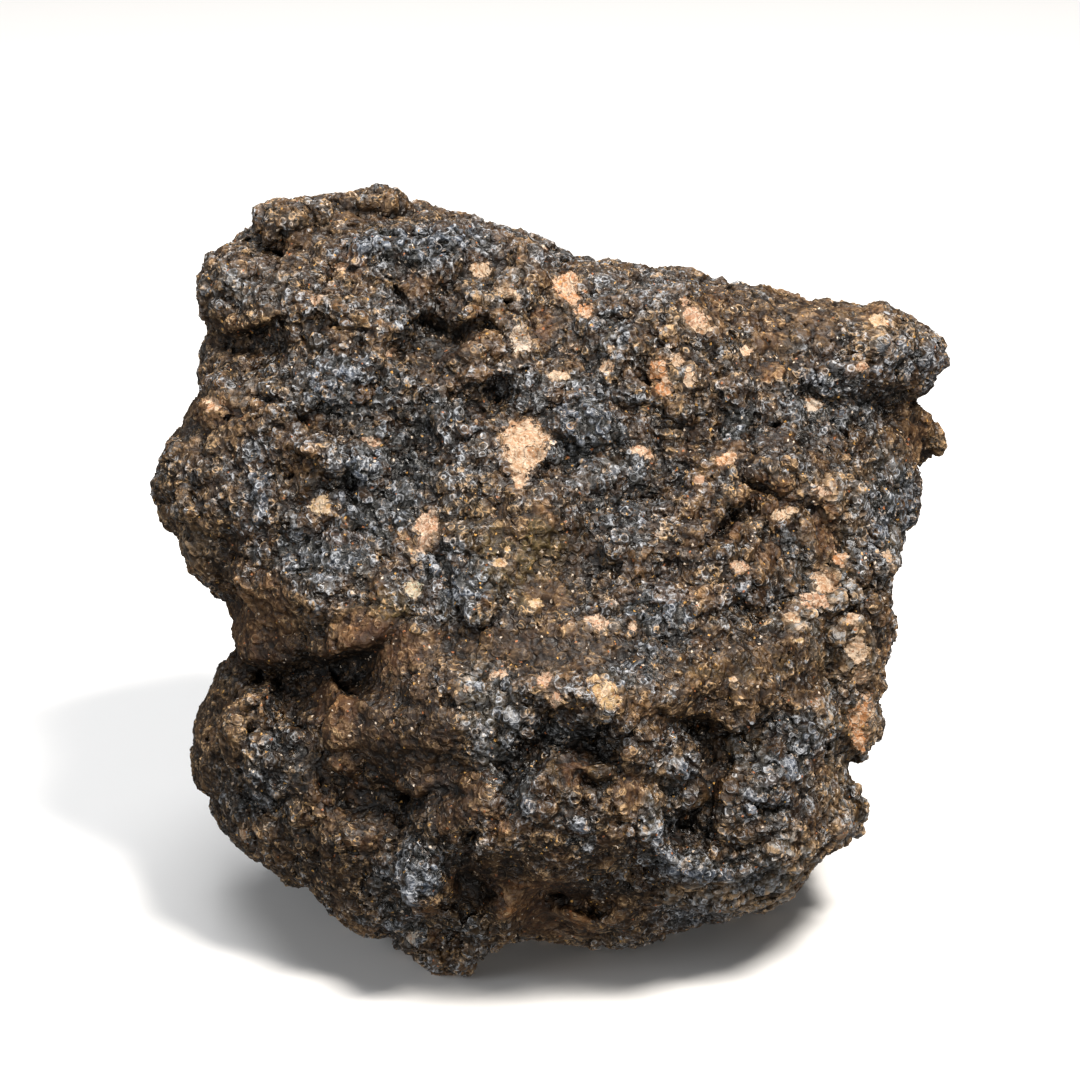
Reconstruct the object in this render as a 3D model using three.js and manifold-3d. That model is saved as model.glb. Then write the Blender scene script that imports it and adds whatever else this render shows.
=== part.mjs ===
// Lunar meteorite: one irregular lump of dark, crusty impact-melt breccia, in a single piece.
//
// The stone is worked out in its own "face frame" and turned upright at the end:
//   u  to the right across the broad front face
//   v  up the broad front face
//   w  out of that face, towards whoever looks at it
// Seen along w the stone fills one closed outline.  Its front is a relief made of a few broad
// planes, with bumps, hollows and ledges on them, and its back is a domed relief of its own.
// All lengths are millimetres.
import * as THREE from 'three';
import { mergeVertices } from 'three/addons/utils/BufferGeometryUtils.js';
import Module from 'manifold-3d';

// ---------------------------------------------------------------- driving dimensions
const LEAN_DEG = 20;            // the broad face leans back this far when the stone stands
const TAPER_LENGTH = 480;       // every section along w is the outline scaled by (1 - w / 480)
const RIM_RADIUS = 9;           // how far in from the outline the front starts to roll over
const BACK_START = -6;          // w where the back dome leaves the outline
const BACK_DEPTH = 32;          // how deep the back dome is
const BACK_RADIUS = 34;         // how far in from the outline the dome is fully deep
const WAIST_DEPTH = -15;        // w of the widest girdle of the stone
const WAIST_SPREAD_FRONT = 34;  // how far in front of that girdle the sides have drawn in
const WAIST_SPREAD_BACK = 15;   // the same behind it
const WAIST_INSET = 3.0;        // how far the sides draw in, in front of and behind the girdle
const KNOB_BLEND = 1.6;          // how softly the rim knobs run into the stone
const SWELL = 0.12;              // the whole surface stands out by this much
const REST_CUT = -41.0;         // height of the flat resting face below the centre of the outline
const UPPER_BLEND = 4.5;         // how softly the planes of the upper front run together
const LOWER_BLEND = 3;           // the same for the lower front
const TERRACE_BLEND = 1.6;        // the same where upper and lower front meet, along the terrace
const LEDGE_SOFTNESS = 0.7;     // how gently a ledge drops from its lip to its step
const LUMP_LONG = 0.9;          // height of the 12 to 26 mm undulations
const LUMP_SHORT = 0.6;         // height of the 5.5 to 12 mm undulations
const BACK_LUMP_GAIN = 1.8;     // the undulations are this much higher on the back
const FACES_DETAIL = 18;        // frequency of the sphere that is wrapped onto the stone
const RELAX_ROUNDS = 14;        // rounds of evening out the wrapped net
const CALM_ROUNDS = 60;         // rounds of flattening faces that have folded over
const WRAP_CENTRE = [2, -4, -12];
const ORIGIN = [1.18, 4.01, -41.0];   // middle of the footprint at the resting face, before it is moved to zero

// Outline of the stone seen square on to its broad face, as (u, v).
const OUTLINE = [
  [-18.3, 36.1], [-15.5, 35.6], [-13.5, 35.7], [-10.6, 33.8], [-6.6, 33.3], [-4.6, 31.8], [-1.5, 32.2], [-0.2, 31],
  [1.2, 30.7], [2.6, 29.4], [6.1, 27.8], [8.6, 28.7], [10.9, 28.1], [13, 28.7], [15.5, 27.9], [17.1, 26.7],
  [18.7, 26.8], [21.6, 25.9], [23.1, 26.1], [25.7, 25.1], [31.2, 24.1], [33, 23.9], [35.4, 24.7], [38.9, 22.6],
  [40.9, 20.5], [40.9, 18.2], [41.4, 16.8], [40.9, 15.7], [39.4, 14.7], [37.6, 14.1], [39.2, 13.6], [39.9, 12.2],
  [40.9, 11.2], [41.3, 9.4], [40.7, 8.4], [38.8, 7.2], [38.5, 2.7], [36.9, 0.3], [37, -2.4], [35.5, -5.3],
  [36.2, -8.6], [35.1, -13], [35.2, -15], [34.6, -16.7], [34.9, -18.9], [33.3, -22.2], [32, -22.7], [31.5, -23.4],
  [32.9, -28.2], [32.6, -29.6], [31.7, -30.7], [29.1, -32.1], [26.4, -36.9], [22.9, -38.2], [20.9, -38], [19.1, -38.7],
  [16.7, -38.6], [16, -39], [6.3, -42.3], [2.9, -41.3], [0.3, -41.7], [-3.6, -41.2], [-5.2, -43], [-6.3, -43.4],
  [-9.4, -43.7], [-12.1, -43.1], [-15.5, -41.1], [-17.8, -40.9], [-20.6, -39.3], [-21.8, -38.4], [-23.8, -35.5], [-26.1, -35.6],
  [-28.9, -33.9], [-32.9, -28.8], [-33.9, -26.3], [-35.4, -25], [-36.1, -22.9], [-35.4, -20.2], [-35.6, -18.5], [-33.1, -13.8],
  [-32.8, -12.1], [-31.7, -10.9], [-31.9, -9.6], [-31.4, -8.5], [-31.7, -6.1], [-35.7, -3.1], [-36.7, 0.3], [-38.1, 1.7],
  [-38.4, 4.9], [-39.2, 6.6], [-38.8, 9.4], [-36.9, 11.5], [-35, 14.9], [-35.1, 16], [-34, 21.6], [-35.3, 23.6],
  [-35.7, 25.4], [-34.2, 29.1], [-29.7, 31.8], [-26.9, 34.9], [-24.7, 35.3], [-23.6, 35.1], [-21.9, 35.6], [-20.2, 35.2],
];

// Broad planes of the front as [u, v, w, rise along u, rise along v]: each passes through (u, v, w).
const UPPER_PLANES = [
  [6.1, 7.1, 13, -0.03, -0.4],
  [-29.6, 7.1, 8, 0.42, -0.12],
  [-9.2, 30.6, -1, 0.05, -1.25],
  [31.6, 4.1, 7, -0.7, -0.05],
  [-22.4, -11.4, 16, 0.35, 2.6],
];
const LOWER_PLANES = [
  [6.1, -12.8, 21.5, 0, -1.25],
  [6.1, -24.5, 24, 0, 0.22],
  [6.1, -36.2, 15, 0, 1.5],
  [-24.5, -23.5, 10, 0.6, 0.12],
  [26.5, -26.5, 13, -0.55, 0.1],
  [-12.2, -16.3, 23, 0.3, -0.55],
];

// Bumps (+) and hollows (-): [name, u, v, half length, half width, turn in degrees, height, edge sharpness].
const BUMPS = [
  ["top_left_bulge", -28.4, 26, 7, 4.4, -8, 3, 2],
  ["top_left_crown", -19.2, 32.4, 10, 3.6, -4, 2.6, 2],
  ["top_mid_crown", -4.1, 28.8, 8, 3.5, -20, 1, 2],
  ["top_left_dip", -15.8, 25.5, 7.5, 2.2, -14, -1.6, 2],
  ["hollow_1", -10, 20.3, 4.8, 2.4, -4, -3.4, 2.6],
  ["hollow_1_left", -14.8, 19.2, 3, 1.6, 10, -1, 2],
  ["hollow_2", -7.1, 14, 2.8, 1.6, 0, -2.8, 2.6],
  ["between_hollows", -6.3, 16.9, 3.2, 1.3, 0, 1, 2],
  ["rust_hollow", 1.3, 23, 2.8, 2.6, 0, -2.4, 2],
  ["bump_380_330", -16.5, 21.9, 1.8, 2.2, 20, 1.4, 2],
  ["top_band_right", 10.2, 25.5, 6, 3, -6, 1.4, 2],
  ["top_band_mid", 24, 21.4, 7, 3.4, -12, 1.2, 2],
  ["dip_650_430", 11.2, 11.7, 6, 4.5, 0, -1.3, 2],
  ["bump_590_420", 4.6, 12.2, 4, 4, 0, 1.1, 2],
  ["pit_725_520", 18.7, 1.7, 2.4, 1.6, 10, -4.6, 2.2],
  ["pit_630_500", 9.4, 4.4, 2.6, 2, 0, -1.8, 2],
  ["hollow_right", 24, 11.7, 6, 2.4, -8, -2.2, 2],
  ["right_col", 33.2, 0, 2.4, 6, 0, 1.4, 2],
  ["top_right_knob", 35.2, 19.9, 5, 3.6, -30, 2.6, 2],
  ["mid_left_bulge", -34.2, 6.1, 4.5, 6, 0, 1.6, 2],
  ["mid_left_ridge", -24.5, 10.7, 7, 2.6, -18, 1.6, 2],
  ["mid_left_low", -22.4, -4.1, 9, 3.8, -8, 2.2, 2],
  ["mid_left_dip", -14.8, 7.1, 3.5, 5.5, 20, -1.4, 2],
  ["face_low", -2, -3.1, 9, 4, 0, -1.6, 2],
  ["face_right_mid", 10.2, 1, 7, 6, 0, 1, 2],
  ["face_low_right", 22.4, -6.1, 6, 4, 0, 1, 2],
  ["front_low_bulge", -12.8, -18.9, 6.5, 5.2, -14, 2.6, 3],
  ["grey_slope", -4.6, -18.9, 3, 5, 20, -1.6, 2],
  ["valley_l", 2, -21.2, 4.4, 2.2, 12, -3.6, 2],
  ["valley_l2", -2.4, -23.7, 1.8, 2.8, 10, -2.2, 2],
  ["valley_l3", 0.5, -17.1, 2.2, 1.6, -30, -1.4, 2],
  ["cobble_580", 5.1, -23.5, 2.6, 2.2, 20, 1.8, 2],
  ["cobble_545", 0.2, -25, 2.2, 2, 20, 1.4, 2],
  ["cobble_455", -8.5, -27.8, 2.8, 2.4, 10, 2.2, 2],
  ["block_left", 10.2, -26.5, 4.6, 5.4, 10, 1.6, 2],
  ["block_mid_low", 3.1, -31.6, 6.5, 2.6, 0, 1.6, 2],
  ["block_right", 24.5, -23, 6, 4.6, 0, 2, 2],
  ["crevice_right", 17.1, -23, 1.5, 3.4, 4, -2.8, 2],
  ["crevice_low", 16.7, -28.8, 1.7, 2.4, 10, -1.8, 2],
  ["recess_bottom", -7.3, -34.9, 2.5, 2.2, -50, -5, 2.4],
  ["recess_red", -1, -37.6, 4.8, 2.8, -34, -3.4, 2],
  ["slot_bottom", 5.9, -36, 4.8, 1.4, 8, -4, 2],
  ["bottom_knob", -8, -39.6, 3.8, 3, 0, 3.8, 2],
  ["block_j", -13.1, -33.7, 4.4, 2.8, 10, 3.2, 2],
  ["left_flank_bulge", -28.4, -26.5, 5.5, 5.5, 0, 1.8, 2],
  ["left_flank_mid", -21.4, -29.6, 5, 3, -10, 1, 2],
  ["left_concave", -23.7, -17.6, 1.8, 3.2, -20, -2.8, 2],
  ["neck_left", -28.4, -11.2, 5, 2.4, 10, -3.4, 2],
  ["bottom_mid", 7.1, -39.3, 4, 1.8, 8, 2, 2],
  ["bottom_right", 20.9, -34.7, 6, 2.2, 12, 1, 2],
];

// Ledges: [name, line of the edge as (u, v), lip height, lip width, step depth, step width].
// The upper side of the line stands out, and the lower side is cut back.
const LEDGES = [
  ["cleft_top_left", [[-34.7, 22.2], [-31.4, 21], [-28.4, 21.6], [-24.9, 22.7]], 0.8, 2.5, 3, 2.8],
  ["undercut_left", [[-31.4, -10.7], [-28.1, -13.1], [-24.5, -12.7], [-21.6, -13.5], [-19.4, -11.4], [-14.1, -8.8]], 0.8, 3, 6.6, 3.4],
  ["lower_centre", [[-9, -31.6], [-5.9, -32.9], [-3.1, -33.9], [2, -35.3], [7.3, -34.9], [11.2, -34.3]], 0.6, 2.5, 2.4, 2.4],
  ["top_right_low", [[33.3, 15.1], [37.2, 14.5], [40.6, 14.7]], 0.4, 2, 3, 1.8],
];

// Bumps and hollows of the back, in the same (u, v), height measured outwards.
const BACK_BUMPS = [
  ["back_shoulder", -14.3, 16.3, 13, 8, -20, 2.6, 2],
  ["back_boss", 11.2, -2, 11, 12, 10, 3, 2],
  ["back_hollow_a", 2, 11.2, 7, 5, 15, -3.4, 2],
  ["back_hollow_b", -17.3, -8.2, 6, 8, -10, -3.8, 2],
  ["back_step", 18.4, -18.4, 9, 6, 0, -3, 2],
  ["back_low_boss", -6.1, -22.4, 10, 7, 0, 2.4, 2],
  ["back_pit_a", 8.2, 19.4, 3, 2.4, 0, -2.6, 2],
  ["back_pit_b", 25.5, 6.1, 2.6, 3.4, 0, -2.8, 2],
  ["back_ridge", 28.6, -8.2, 3, 10, 10, 1.8, 2],
  ["back_pit_c", -4.1, -5.1, 2.6, 2.2, 0, -2.4, 2],
  ["back_left_edge", -28.6, 6.1, 5, 8, 0, 1.6, 2],
  ["back_pit_d", -24.5, -24.5, 2.6, 2.2, 0, -2.2, 2],
];

// Rounded knobs that stand out at the rim: [name, u, v, w, half sizes along u, v and w].
const KNOBS = [
  ["finger", 39.1, 10.7, -15, 3.4, 2.7, 6.5],
  ["top_right", 39, 18.9, -8, 3.1, 2.9, 6],
  ["crown", -16, 33.9, -8, 4.4, 2.5, 6],
  ["crown_left", -25, 32.6, -6, 4.4, 2.8, 6.5],
  ["right_side", 37.1, 5, -14, 2.7, 4.4, 8],
  ["foot", -9.1, -41, 2, 4.2, 2.6, 4],
  ["left_side", -36.9, 6.5, -10, 2.6, 5, 8],
  ["right_low", 31.4, -28, -4, 1.5, 2.4, 5],
];

// ---------------------------------------------------------------- small helpers
const rad = (d) => (d * Math.PI) / 180;
const clamp = (x, lo, hi) => Math.min(hi, Math.max(lo, x));
const softMin = (a, b, k) => {
  const h = Math.max(k - Math.abs(a - b), 0) / k;
  return Math.min(a, b) - h * h * k * 0.25;
};
const softMax = (a, b, k) => -softMin(-a, -b, k);

// Signed distance from (u, v) to the outline, negative inside.
function outlineDistance(u, v) {
  let best = Infinity;
  let inside = false;
  for (let i = 0; i < OUTLINE.length; i++) {
    const [au, av] = OUTLINE[i];
    const [bu, bv] = OUTLINE[(i + 1) % OUTLINE.length];
    const eu = bu - au, ev = bv - av, du = u - au, dv = v - av;
    const t = clamp((du * eu + dv * ev) / (eu * eu + ev * ev), 0, 1);
    best = Math.min(best, (du - t * eu) ** 2 + (dv - t * ev) ** 2);
    if ((av > v) !== (bv > v) && u < au + ((v - av) / (ev + 1e-12)) * eu) inside = !inside;
  }
  return (inside ? -1 : 1) * Math.sqrt(best);
}

function planes(list, u, v, blend) {
  let out = null;
  for (const [u0, v0, w0, gu, gv] of list) {
    const w = w0 + gu * (u - u0) + gv * (v - v0);
    out = out === null ? w : softMin(out, w, blend);
  }
  return out;
}

function bumps(list, u, v) {
  let h = 0;
  for (const [, u0, v0, ru, rv, turn, height, sharp] of list) {
    const c = Math.cos(rad(turn)), s = Math.sin(rad(turn));
    const x = u - u0, y = v - v0;
    const q = Math.hypot((x * c + y * s) / ru, (-x * s + y * c) / rv);
    h += height * Math.exp(-0.7 * q ** sharp);
  }
  return h;
}

function ledges(u, v) {
  let h = 0;
  for (const [, line, lip, lipWidth, drop, dropWidth] of LEDGES) {
    let total = 0;
    const runs = [0];
    for (let i = 1; i < line.length; i++) {
      total += Math.hypot(line[i][0] - line[i - 1][0], line[i][1] - line[i - 1][1]);
      runs.push(total);
    }
    let best = Infinity, side = 0, along = 0;
    for (let i = 0; i + 1 < line.length; i++) {
      const eu = line[i + 1][0] - line[i][0], ev = line[i + 1][1] - line[i][1];
      const len = Math.hypot(eu, ev), du = u - line[i][0], dv = v - line[i][1];
      const t = clamp((du * eu + dv * ev) / (len * len), 0, 1);
      const d = Math.hypot(du - t * eu, dv - t * ev);
      if (d < best) {
        best = d;
        side = (eu * dv - ev * du) / len;
        along = (runs[i] + t * len) / total;
      }
    }
    if (best > 14) continue;
    const past = Math.sqrt(Math.max(best * best - side * side, 0));
    const fade = clamp(Math.min(along, 1 - along) * 4 + 0.15, 0, 1) * Math.exp(-((past / 1.2) ** 2));
    const step = 1 / (1 + Math.exp(-side / LEDGE_SOFTNESS));
    h += fade * (step * lip * Math.exp(-Math.abs(side) / lipWidth) - (1 - step) * drop * Math.exp(-((side / dropWidth) ** 2)));
  }
  return h;
}

// ---------------------------------------------------------------- relief of front and back on a (u, v) grid
const LIM = 52, N = 209, CELL = (2 * LIM) / (N - 1);
const grid = () => new Float64Array(N * N);

function blur(a, r, rounds) {
  for (let n = 0; n < rounds; n++) {
    for (const stride of [N, 1]) {
      const other = stride === 1 ? N : 1;
      const b = grid();
      for (let i = 0; i < N; i++) {
        for (let j = 0; j < N; j++) {
          let s = 0;
          for (let k = -r; k <= r; k++) s += a[clamp(j + k, 0, N - 1) * stride + i * other];
          b[j * stride + i * other] = s / (2 * r + 1);
        }
      }
      a = b;
    }
  }
  return a;
}

const edge = grid(), front = grid(), back = grid();
for (let i = 0; i < N; i++) for (let j = 0; j < N; j++) edge[i * N + j] = outlineDistance(-LIM + i * CELL, -LIM + j * CELL);
const softEdge = blur(edge, Math.round(2.4 / CELL), 3);
const roll = (x) => Math.sqrt(Math.max(1 - (1 - x) ** 2, 0));
for (let i = 0; i < N; i++) {
  for (let j = 0; j < N; j++) {
    const u = -LIM + i * CELL, v = -LIM + j * CELL, m = i * N + j;
    // the small features follow slightly wandering coordinates, so that none is a clean oval
    const wu = u + 0.3 * Math.sin(1.15 * v + 0.6 * u + 0.3) + 0.8 * Math.sin(0.48 * v - 0.31 * u + 2.0);
    const wv = v + 0.28 * Math.sin(1.05 * u - 0.5 * v + 2.2) + 0.7 * Math.sin(0.42 * u + 0.37 * v);
    const broad = softMax(planes(UPPER_PLANES, u, v, UPPER_BLEND), planes(LOWER_PLANES, u, v, LOWER_BLEND), TERRACE_BLEND);
    front[m] = broad + bumps(BUMPS, wu, wv) + ledges(wu, wv) - RIM_RADIUS * (1 - roll(clamp(-softEdge[m] / RIM_RADIUS, 0, 1)));
    back[m] = BACK_START - BACK_DEPTH * roll(clamp(-softEdge[m] / BACK_RADIUS, 0, 1)) - bumps(BACK_BUMPS, u, v);
  }
}

// Steepness of a relief, so that heights can be read as distances.
function steepness(h) {
  const s = grid();
  for (let i = 0; i < N; i++) {
    for (let j = 0; j < N; j++) {
      const gu = (h[Math.min(i + 1, N - 1) * N + j] - h[Math.max(i - 1, 0) * N + j]) / (2 * CELL);
      const gv = (h[i * N + Math.min(j + 1, N - 1)] - h[i * N + Math.max(j - 1, 0)]) / (2 * CELL);
      s[i * N + j] = Math.sqrt(1 + Math.min(gu * gu + gv * gv, 9));
    }
  }
  return s;
}
const frontSteep = steepness(front), backSteep = steepness(back);

// ---------------------------------------------------------------- undulations
// A sum of plane waves spread evenly over all directions.
function waves(count, shortest, longest, start) {
  const list = [];
  for (let i = 0; i < count; i++) {
    const z = 1 - (2 * (i + 0.5)) / count, a = 2.399963 * i + start, r = Math.sqrt(1 - z * z);
    const length = shortest * (longest / shortest) ** ((0.618034 * i + 0.37 * start) % 1);
    const phase = 2 * Math.PI * ((0.754878 * i + 0.56984 * start) % 1);
    const k = (2 * Math.PI) / length;
    list.push([k * r * Math.cos(a), k * r * Math.sin(a), k * z, phase, length / longest]);
  }
  return list;
}
const LONG = waves(15, 12, 26, 1.3), SHORT = waves(27, 5.5, 12, 2.7);
function undulate(list, u, v, w) {
  let s = 0;
  for (const [a, b, c, phase, size] of list) s += size * Math.sin(a * u + b * v + c * w + phase);
  return s / Math.sqrt(list.length / 2);
}

// ---------------------------------------------------------------- the stone as one signed distance
function sample(g, x, y) {
  const i = Math.floor(x), j = Math.floor(y), fx = x - i, fy = y - j, m = i * N + j;
  return g[m] * (1 - fx) * (1 - fy) + g[m + N] * fx * (1 - fy) + g[m + 1] * (1 - fx) * fy + g[m + N + 1] * fx * fy;
}
function stoneDistance(u, v, w) {
  const k = TAPER_LENGTH / (TAPER_LENGTH - w);
  const x = clamp((u * k + LIM) / CELL, 0, N - 1.001), y = clamp((v * k + LIM) / CELL, 0, N - 1.001);
  const n = LUMP_LONG * undulate(LONG, u, v, w) + LUMP_SHORT * undulate(SHORT, u, v, w);
  const f = (w - sample(front, x, y)) / sample(frontSteep, x, y) + n;
  const b = (sample(back, x, y) - w) / sample(backSteep, x, y) + n * BACK_LUMP_GAIN;
  const girdle = WAIST_DEPTH + 5 * Math.sin(0.11 * u + 1) + 4 * Math.sin(0.13 * v + 0.09 * u);
  const q = (w - girdle) / (w > girdle ? WAIST_SPREAD_FRONT : WAIST_SPREAD_BACK);
  const inset = WAIST_INSET * (1 - Math.exp(-q * q * Math.abs(q))) * (1 + 0.5 * n);
  let d = softMax(softMax(f, b, 3.0), sample(edge, x, y) / k + Math.max(inset, 0), 1.2);
  for (const [, u0, v0, w0, ru, rv, rw] of KNOBS) {
    const near = Math.hypot((u - u0) / ru, (v - v0) / rv, (w - w0) / rw) - 1;
    d = softMin(d, near * Math.min(ru, rv, rw), KNOB_BLEND);
  }
  return d - SWELL;
}

// ---------------------------------------------------------------- wrap a fine sphere onto it
function wrapped() {
  const ball = new THREE.IcosahedronGeometry(1, FACES_DETAIL);
  ball.deleteAttribute('normal');
  ball.deleteAttribute('uv');
  const geometry = mergeVertices(ball, 1e-5);
  const p = geometry.attributes.position, index = geometry.index.array, count = p.count;

  // along each spoke, the first point of the stone met from outside
  for (let i = 0; i < count; i++) {
    const d = new THREE.Vector3().fromBufferAttribute(p, i).normalize();
    const at = (r) => stoneDistance(WRAP_CENTRE[0] + d.x * r, WRAP_CENTRE[1] + d.y * r, WRAP_CENTRE[2] + d.z * r);
    let outer = 62, inner = 62;
    while (inner > 2 && at(inner) > 0) { outer = inner; inner -= 0.5; }
    for (let n = 0; n < 14; n++) {
      const mid = (outer + inner) / 2;
      if (at(mid) > 0) outer = mid; else inner = mid;
    }
    p.setXYZ(i, WRAP_CENTRE[0] + d.x * inner, WRAP_CENTRE[1] + d.y * inner, WRAP_CENTRE[2] + d.z * inner);
  }

  // even out the net, and pull it back onto the surface each time
  const neighbours = Array.from({ length: count }, () => new Set());
  for (let t = 0; t < index.length; t += 3) {
    for (const [a, b] of [[0, 1], [1, 2], [2, 0]]) {
      neighbours[index[t + a]].add(index[t + b]);
      neighbours[index[t + b]].add(index[t + a]);
    }
  }
  let points = Array.from({ length: count }, (_, i) => [p.getX(i), p.getY(i), p.getZ(i)]);
  const E = 0.35;
  for (let round = 0; round < RELAX_ROUNDS; round++) {
    points = points.map((q, i) => {
      const m = [0, 0, 0];
      for (const j of neighbours[i]) for (let c = 0; c < 3; c++) m[c] += points[j][c] / neighbours[i].size;
      const r = q.map((x, c) => x + 0.5 * (m[c] - x));
      for (let n = 0; n < 2; n++) {
        const f = stoneDistance(...r);
        const g = [
          stoneDistance(r[0] + E, r[1], r[2]) - stoneDistance(r[0] - E, r[1], r[2]),
          stoneDistance(r[0], r[1] + E, r[2]) - stoneDistance(r[0], r[1] - E, r[2]),
          stoneDistance(r[0], r[1], r[2] + E) - stoneDistance(r[0], r[1], r[2] - E),
        ].map((x) => x / (2 * E));
        const len2 = Math.max(g[0] ** 2 + g[1] ** 2 + g[2] ** 2, 0.25);
        const step = clamp(f, -0.6, 0.6) / len2;
        for (let c = 0; c < 3; c++) r[c] -= step * g[c];
      }
      return r;
    });
  }

  // where faces have folded over one another in a sharp corner, draw their points together
  const around = Array.from({ length: count }, () => []);
  for (let t = 0; t < index.length; t += 3) for (let c = 0; c < 3; c++) around[index[t + c]].push(t);
  const corner = [new THREE.Vector3(), new THREE.Vector3(), new THREE.Vector3()];
  for (let round = 0; round < CALM_ROUNDS; round++) {
    const normals = new Map();
    for (let t = 0; t < index.length; t += 3) {
      corner.forEach((c, n) => c.fromArray(points[index[t + n]]));
      normals.set(t, new THREE.Triangle(...corner).getNormal(new THREE.Vector3()));
    }
    const folded = new Set();
    for (let i = 0; i < count; i++) {
      const mean = around[i].reduce((s, t) => s.add(normals.get(t)), new THREE.Vector3()).normalize();
      if (around[i].some((t) => normals.get(t).dot(mean) < 0.74)) {
        folded.add(i);
        for (const j of neighbours[i]) folded.add(j);
      }
    }
    if (folded.size === 0) break;
    const next = points.map((q) => [...q]);
    for (const i of folded) {
      const m = [0, 0, 0];
      for (const j of neighbours[i]) for (let c = 0; c < 3; c++) m[c] += points[j][c] / neighbours[i].size;
      for (let c = 0; c < 3; c++) next[i][c] = points[i][c] + 0.6 * (m[c] - points[i][c]);
    }
    points = next;
  }
  points.forEach((q, i) => p.setXYZ(i, ...q));
  return geometry;
}

// ---------------------------------------------------------------- stand it up and cut the resting face
// u, v, w become x, y, z of a stone whose broad face looks along -Y and leans back.
const upright = new THREE.Matrix4().makeBasis(
  new THREE.Vector3(1, 0, 0),
  new THREE.Vector3(0, Math.sin(rad(LEAN_DEG)), Math.cos(rad(LEAN_DEG))),
  new THREE.Vector3(0, -Math.cos(rad(LEAN_DEG)), Math.sin(rad(LEAN_DEG))),
);

const wasm = await Module();
wasm.setup();
function solid(geometry) {
  const g = geometry.clone();
  g.deleteAttribute('normal');
  g.deleteAttribute('uv');
  const m = mergeVertices(g, 1e-4);
  return new wasm.Manifold(new wasm.Mesh({
    numProp: 3,
    vertProperties: new Float32Array(m.attributes.position.array),
    triVerts: new Uint32Array(m.index.array),
  }));
}
function geometryOf(manifold) {
  const mesh = manifold.getMesh();
  const g = new THREE.BufferGeometry();
  const xyz = new Float32Array((mesh.vertProperties.length / mesh.numProp) * 3);
  for (let i = 0; i < xyz.length / 3; i++) for (let c = 0; c < 3; c++) xyz[3 * i + c] = mesh.vertProperties[i * mesh.numProp + c];
  g.setAttribute('position', new THREE.BufferAttribute(xyz, 3));
  g.setIndex(new THREE.BufferAttribute(new Uint32Array(mesh.triVerts), 1));
  return g;
}

const lump = solid(wrapped().applyMatrix4(upright));
const below = solid(new THREE.BoxGeometry(200, 200, 60).translate(0, 0, REST_CUT - 30));
const stoneGeometry = geometryOf(lump.subtract(below));
stoneGeometry.translate(-ORIGIN[0], -ORIGIN[1], -ORIGIN[2]);
stoneGeometry.computeVertexNormals();

// ---------------------------------------------------------------- scene graph
const meteorite = new THREE.Group();
meteorite.name = 'lunar_meteorite';

const stone = new THREE.Mesh(
  stoneGeometry,
  new THREE.MeshStandardMaterial({ name: 'crusty_breccia', color: new THREE.Color('#4b443d'), roughness: 0.62, metalness: 0.0 }),
);
stone.name = 'stone';
meteorite.add(stone);

export default meteorite;
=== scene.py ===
"""Lunar meteorite: one lump of dark crusty breccia on a plain pale floor.

The stone's surface is worked out as a signed distance in its "face frame" (u right, v up the broad face, w out of it,
millimetres), meshed, roughened lump by lump, and set with small angular crystals. Everything is then moved into the
row frame, in metres."""
import math

import bpy
import numpy as np
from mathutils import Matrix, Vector


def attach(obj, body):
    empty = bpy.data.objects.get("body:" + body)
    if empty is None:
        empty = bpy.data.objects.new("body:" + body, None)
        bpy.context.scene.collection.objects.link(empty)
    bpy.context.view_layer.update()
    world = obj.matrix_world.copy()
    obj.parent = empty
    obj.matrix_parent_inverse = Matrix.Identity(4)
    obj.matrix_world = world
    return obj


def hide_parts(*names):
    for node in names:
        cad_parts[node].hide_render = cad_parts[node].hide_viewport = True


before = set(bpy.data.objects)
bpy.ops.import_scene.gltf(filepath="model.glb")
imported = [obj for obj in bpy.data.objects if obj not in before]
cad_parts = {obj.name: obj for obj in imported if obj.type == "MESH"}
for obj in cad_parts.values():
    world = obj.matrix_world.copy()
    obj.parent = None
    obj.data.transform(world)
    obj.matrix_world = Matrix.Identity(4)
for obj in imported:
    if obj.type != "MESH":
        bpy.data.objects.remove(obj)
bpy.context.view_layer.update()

f32 = np.float32

# ------------------------------------------------------------------ driving dimensions, as in the solid
LEAN = math.radians(20)        # the broad face leans back this far
EYE = 480.0                    # distance of the eye from the middle of the outline, and the taper of the outline
ORIGIN = (1.18, 4.01, -41.0)    # row frame's origin in the upright frame
REST_CUT = -41.0
STEP = 0.29                    # size of the meshing cells

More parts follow.
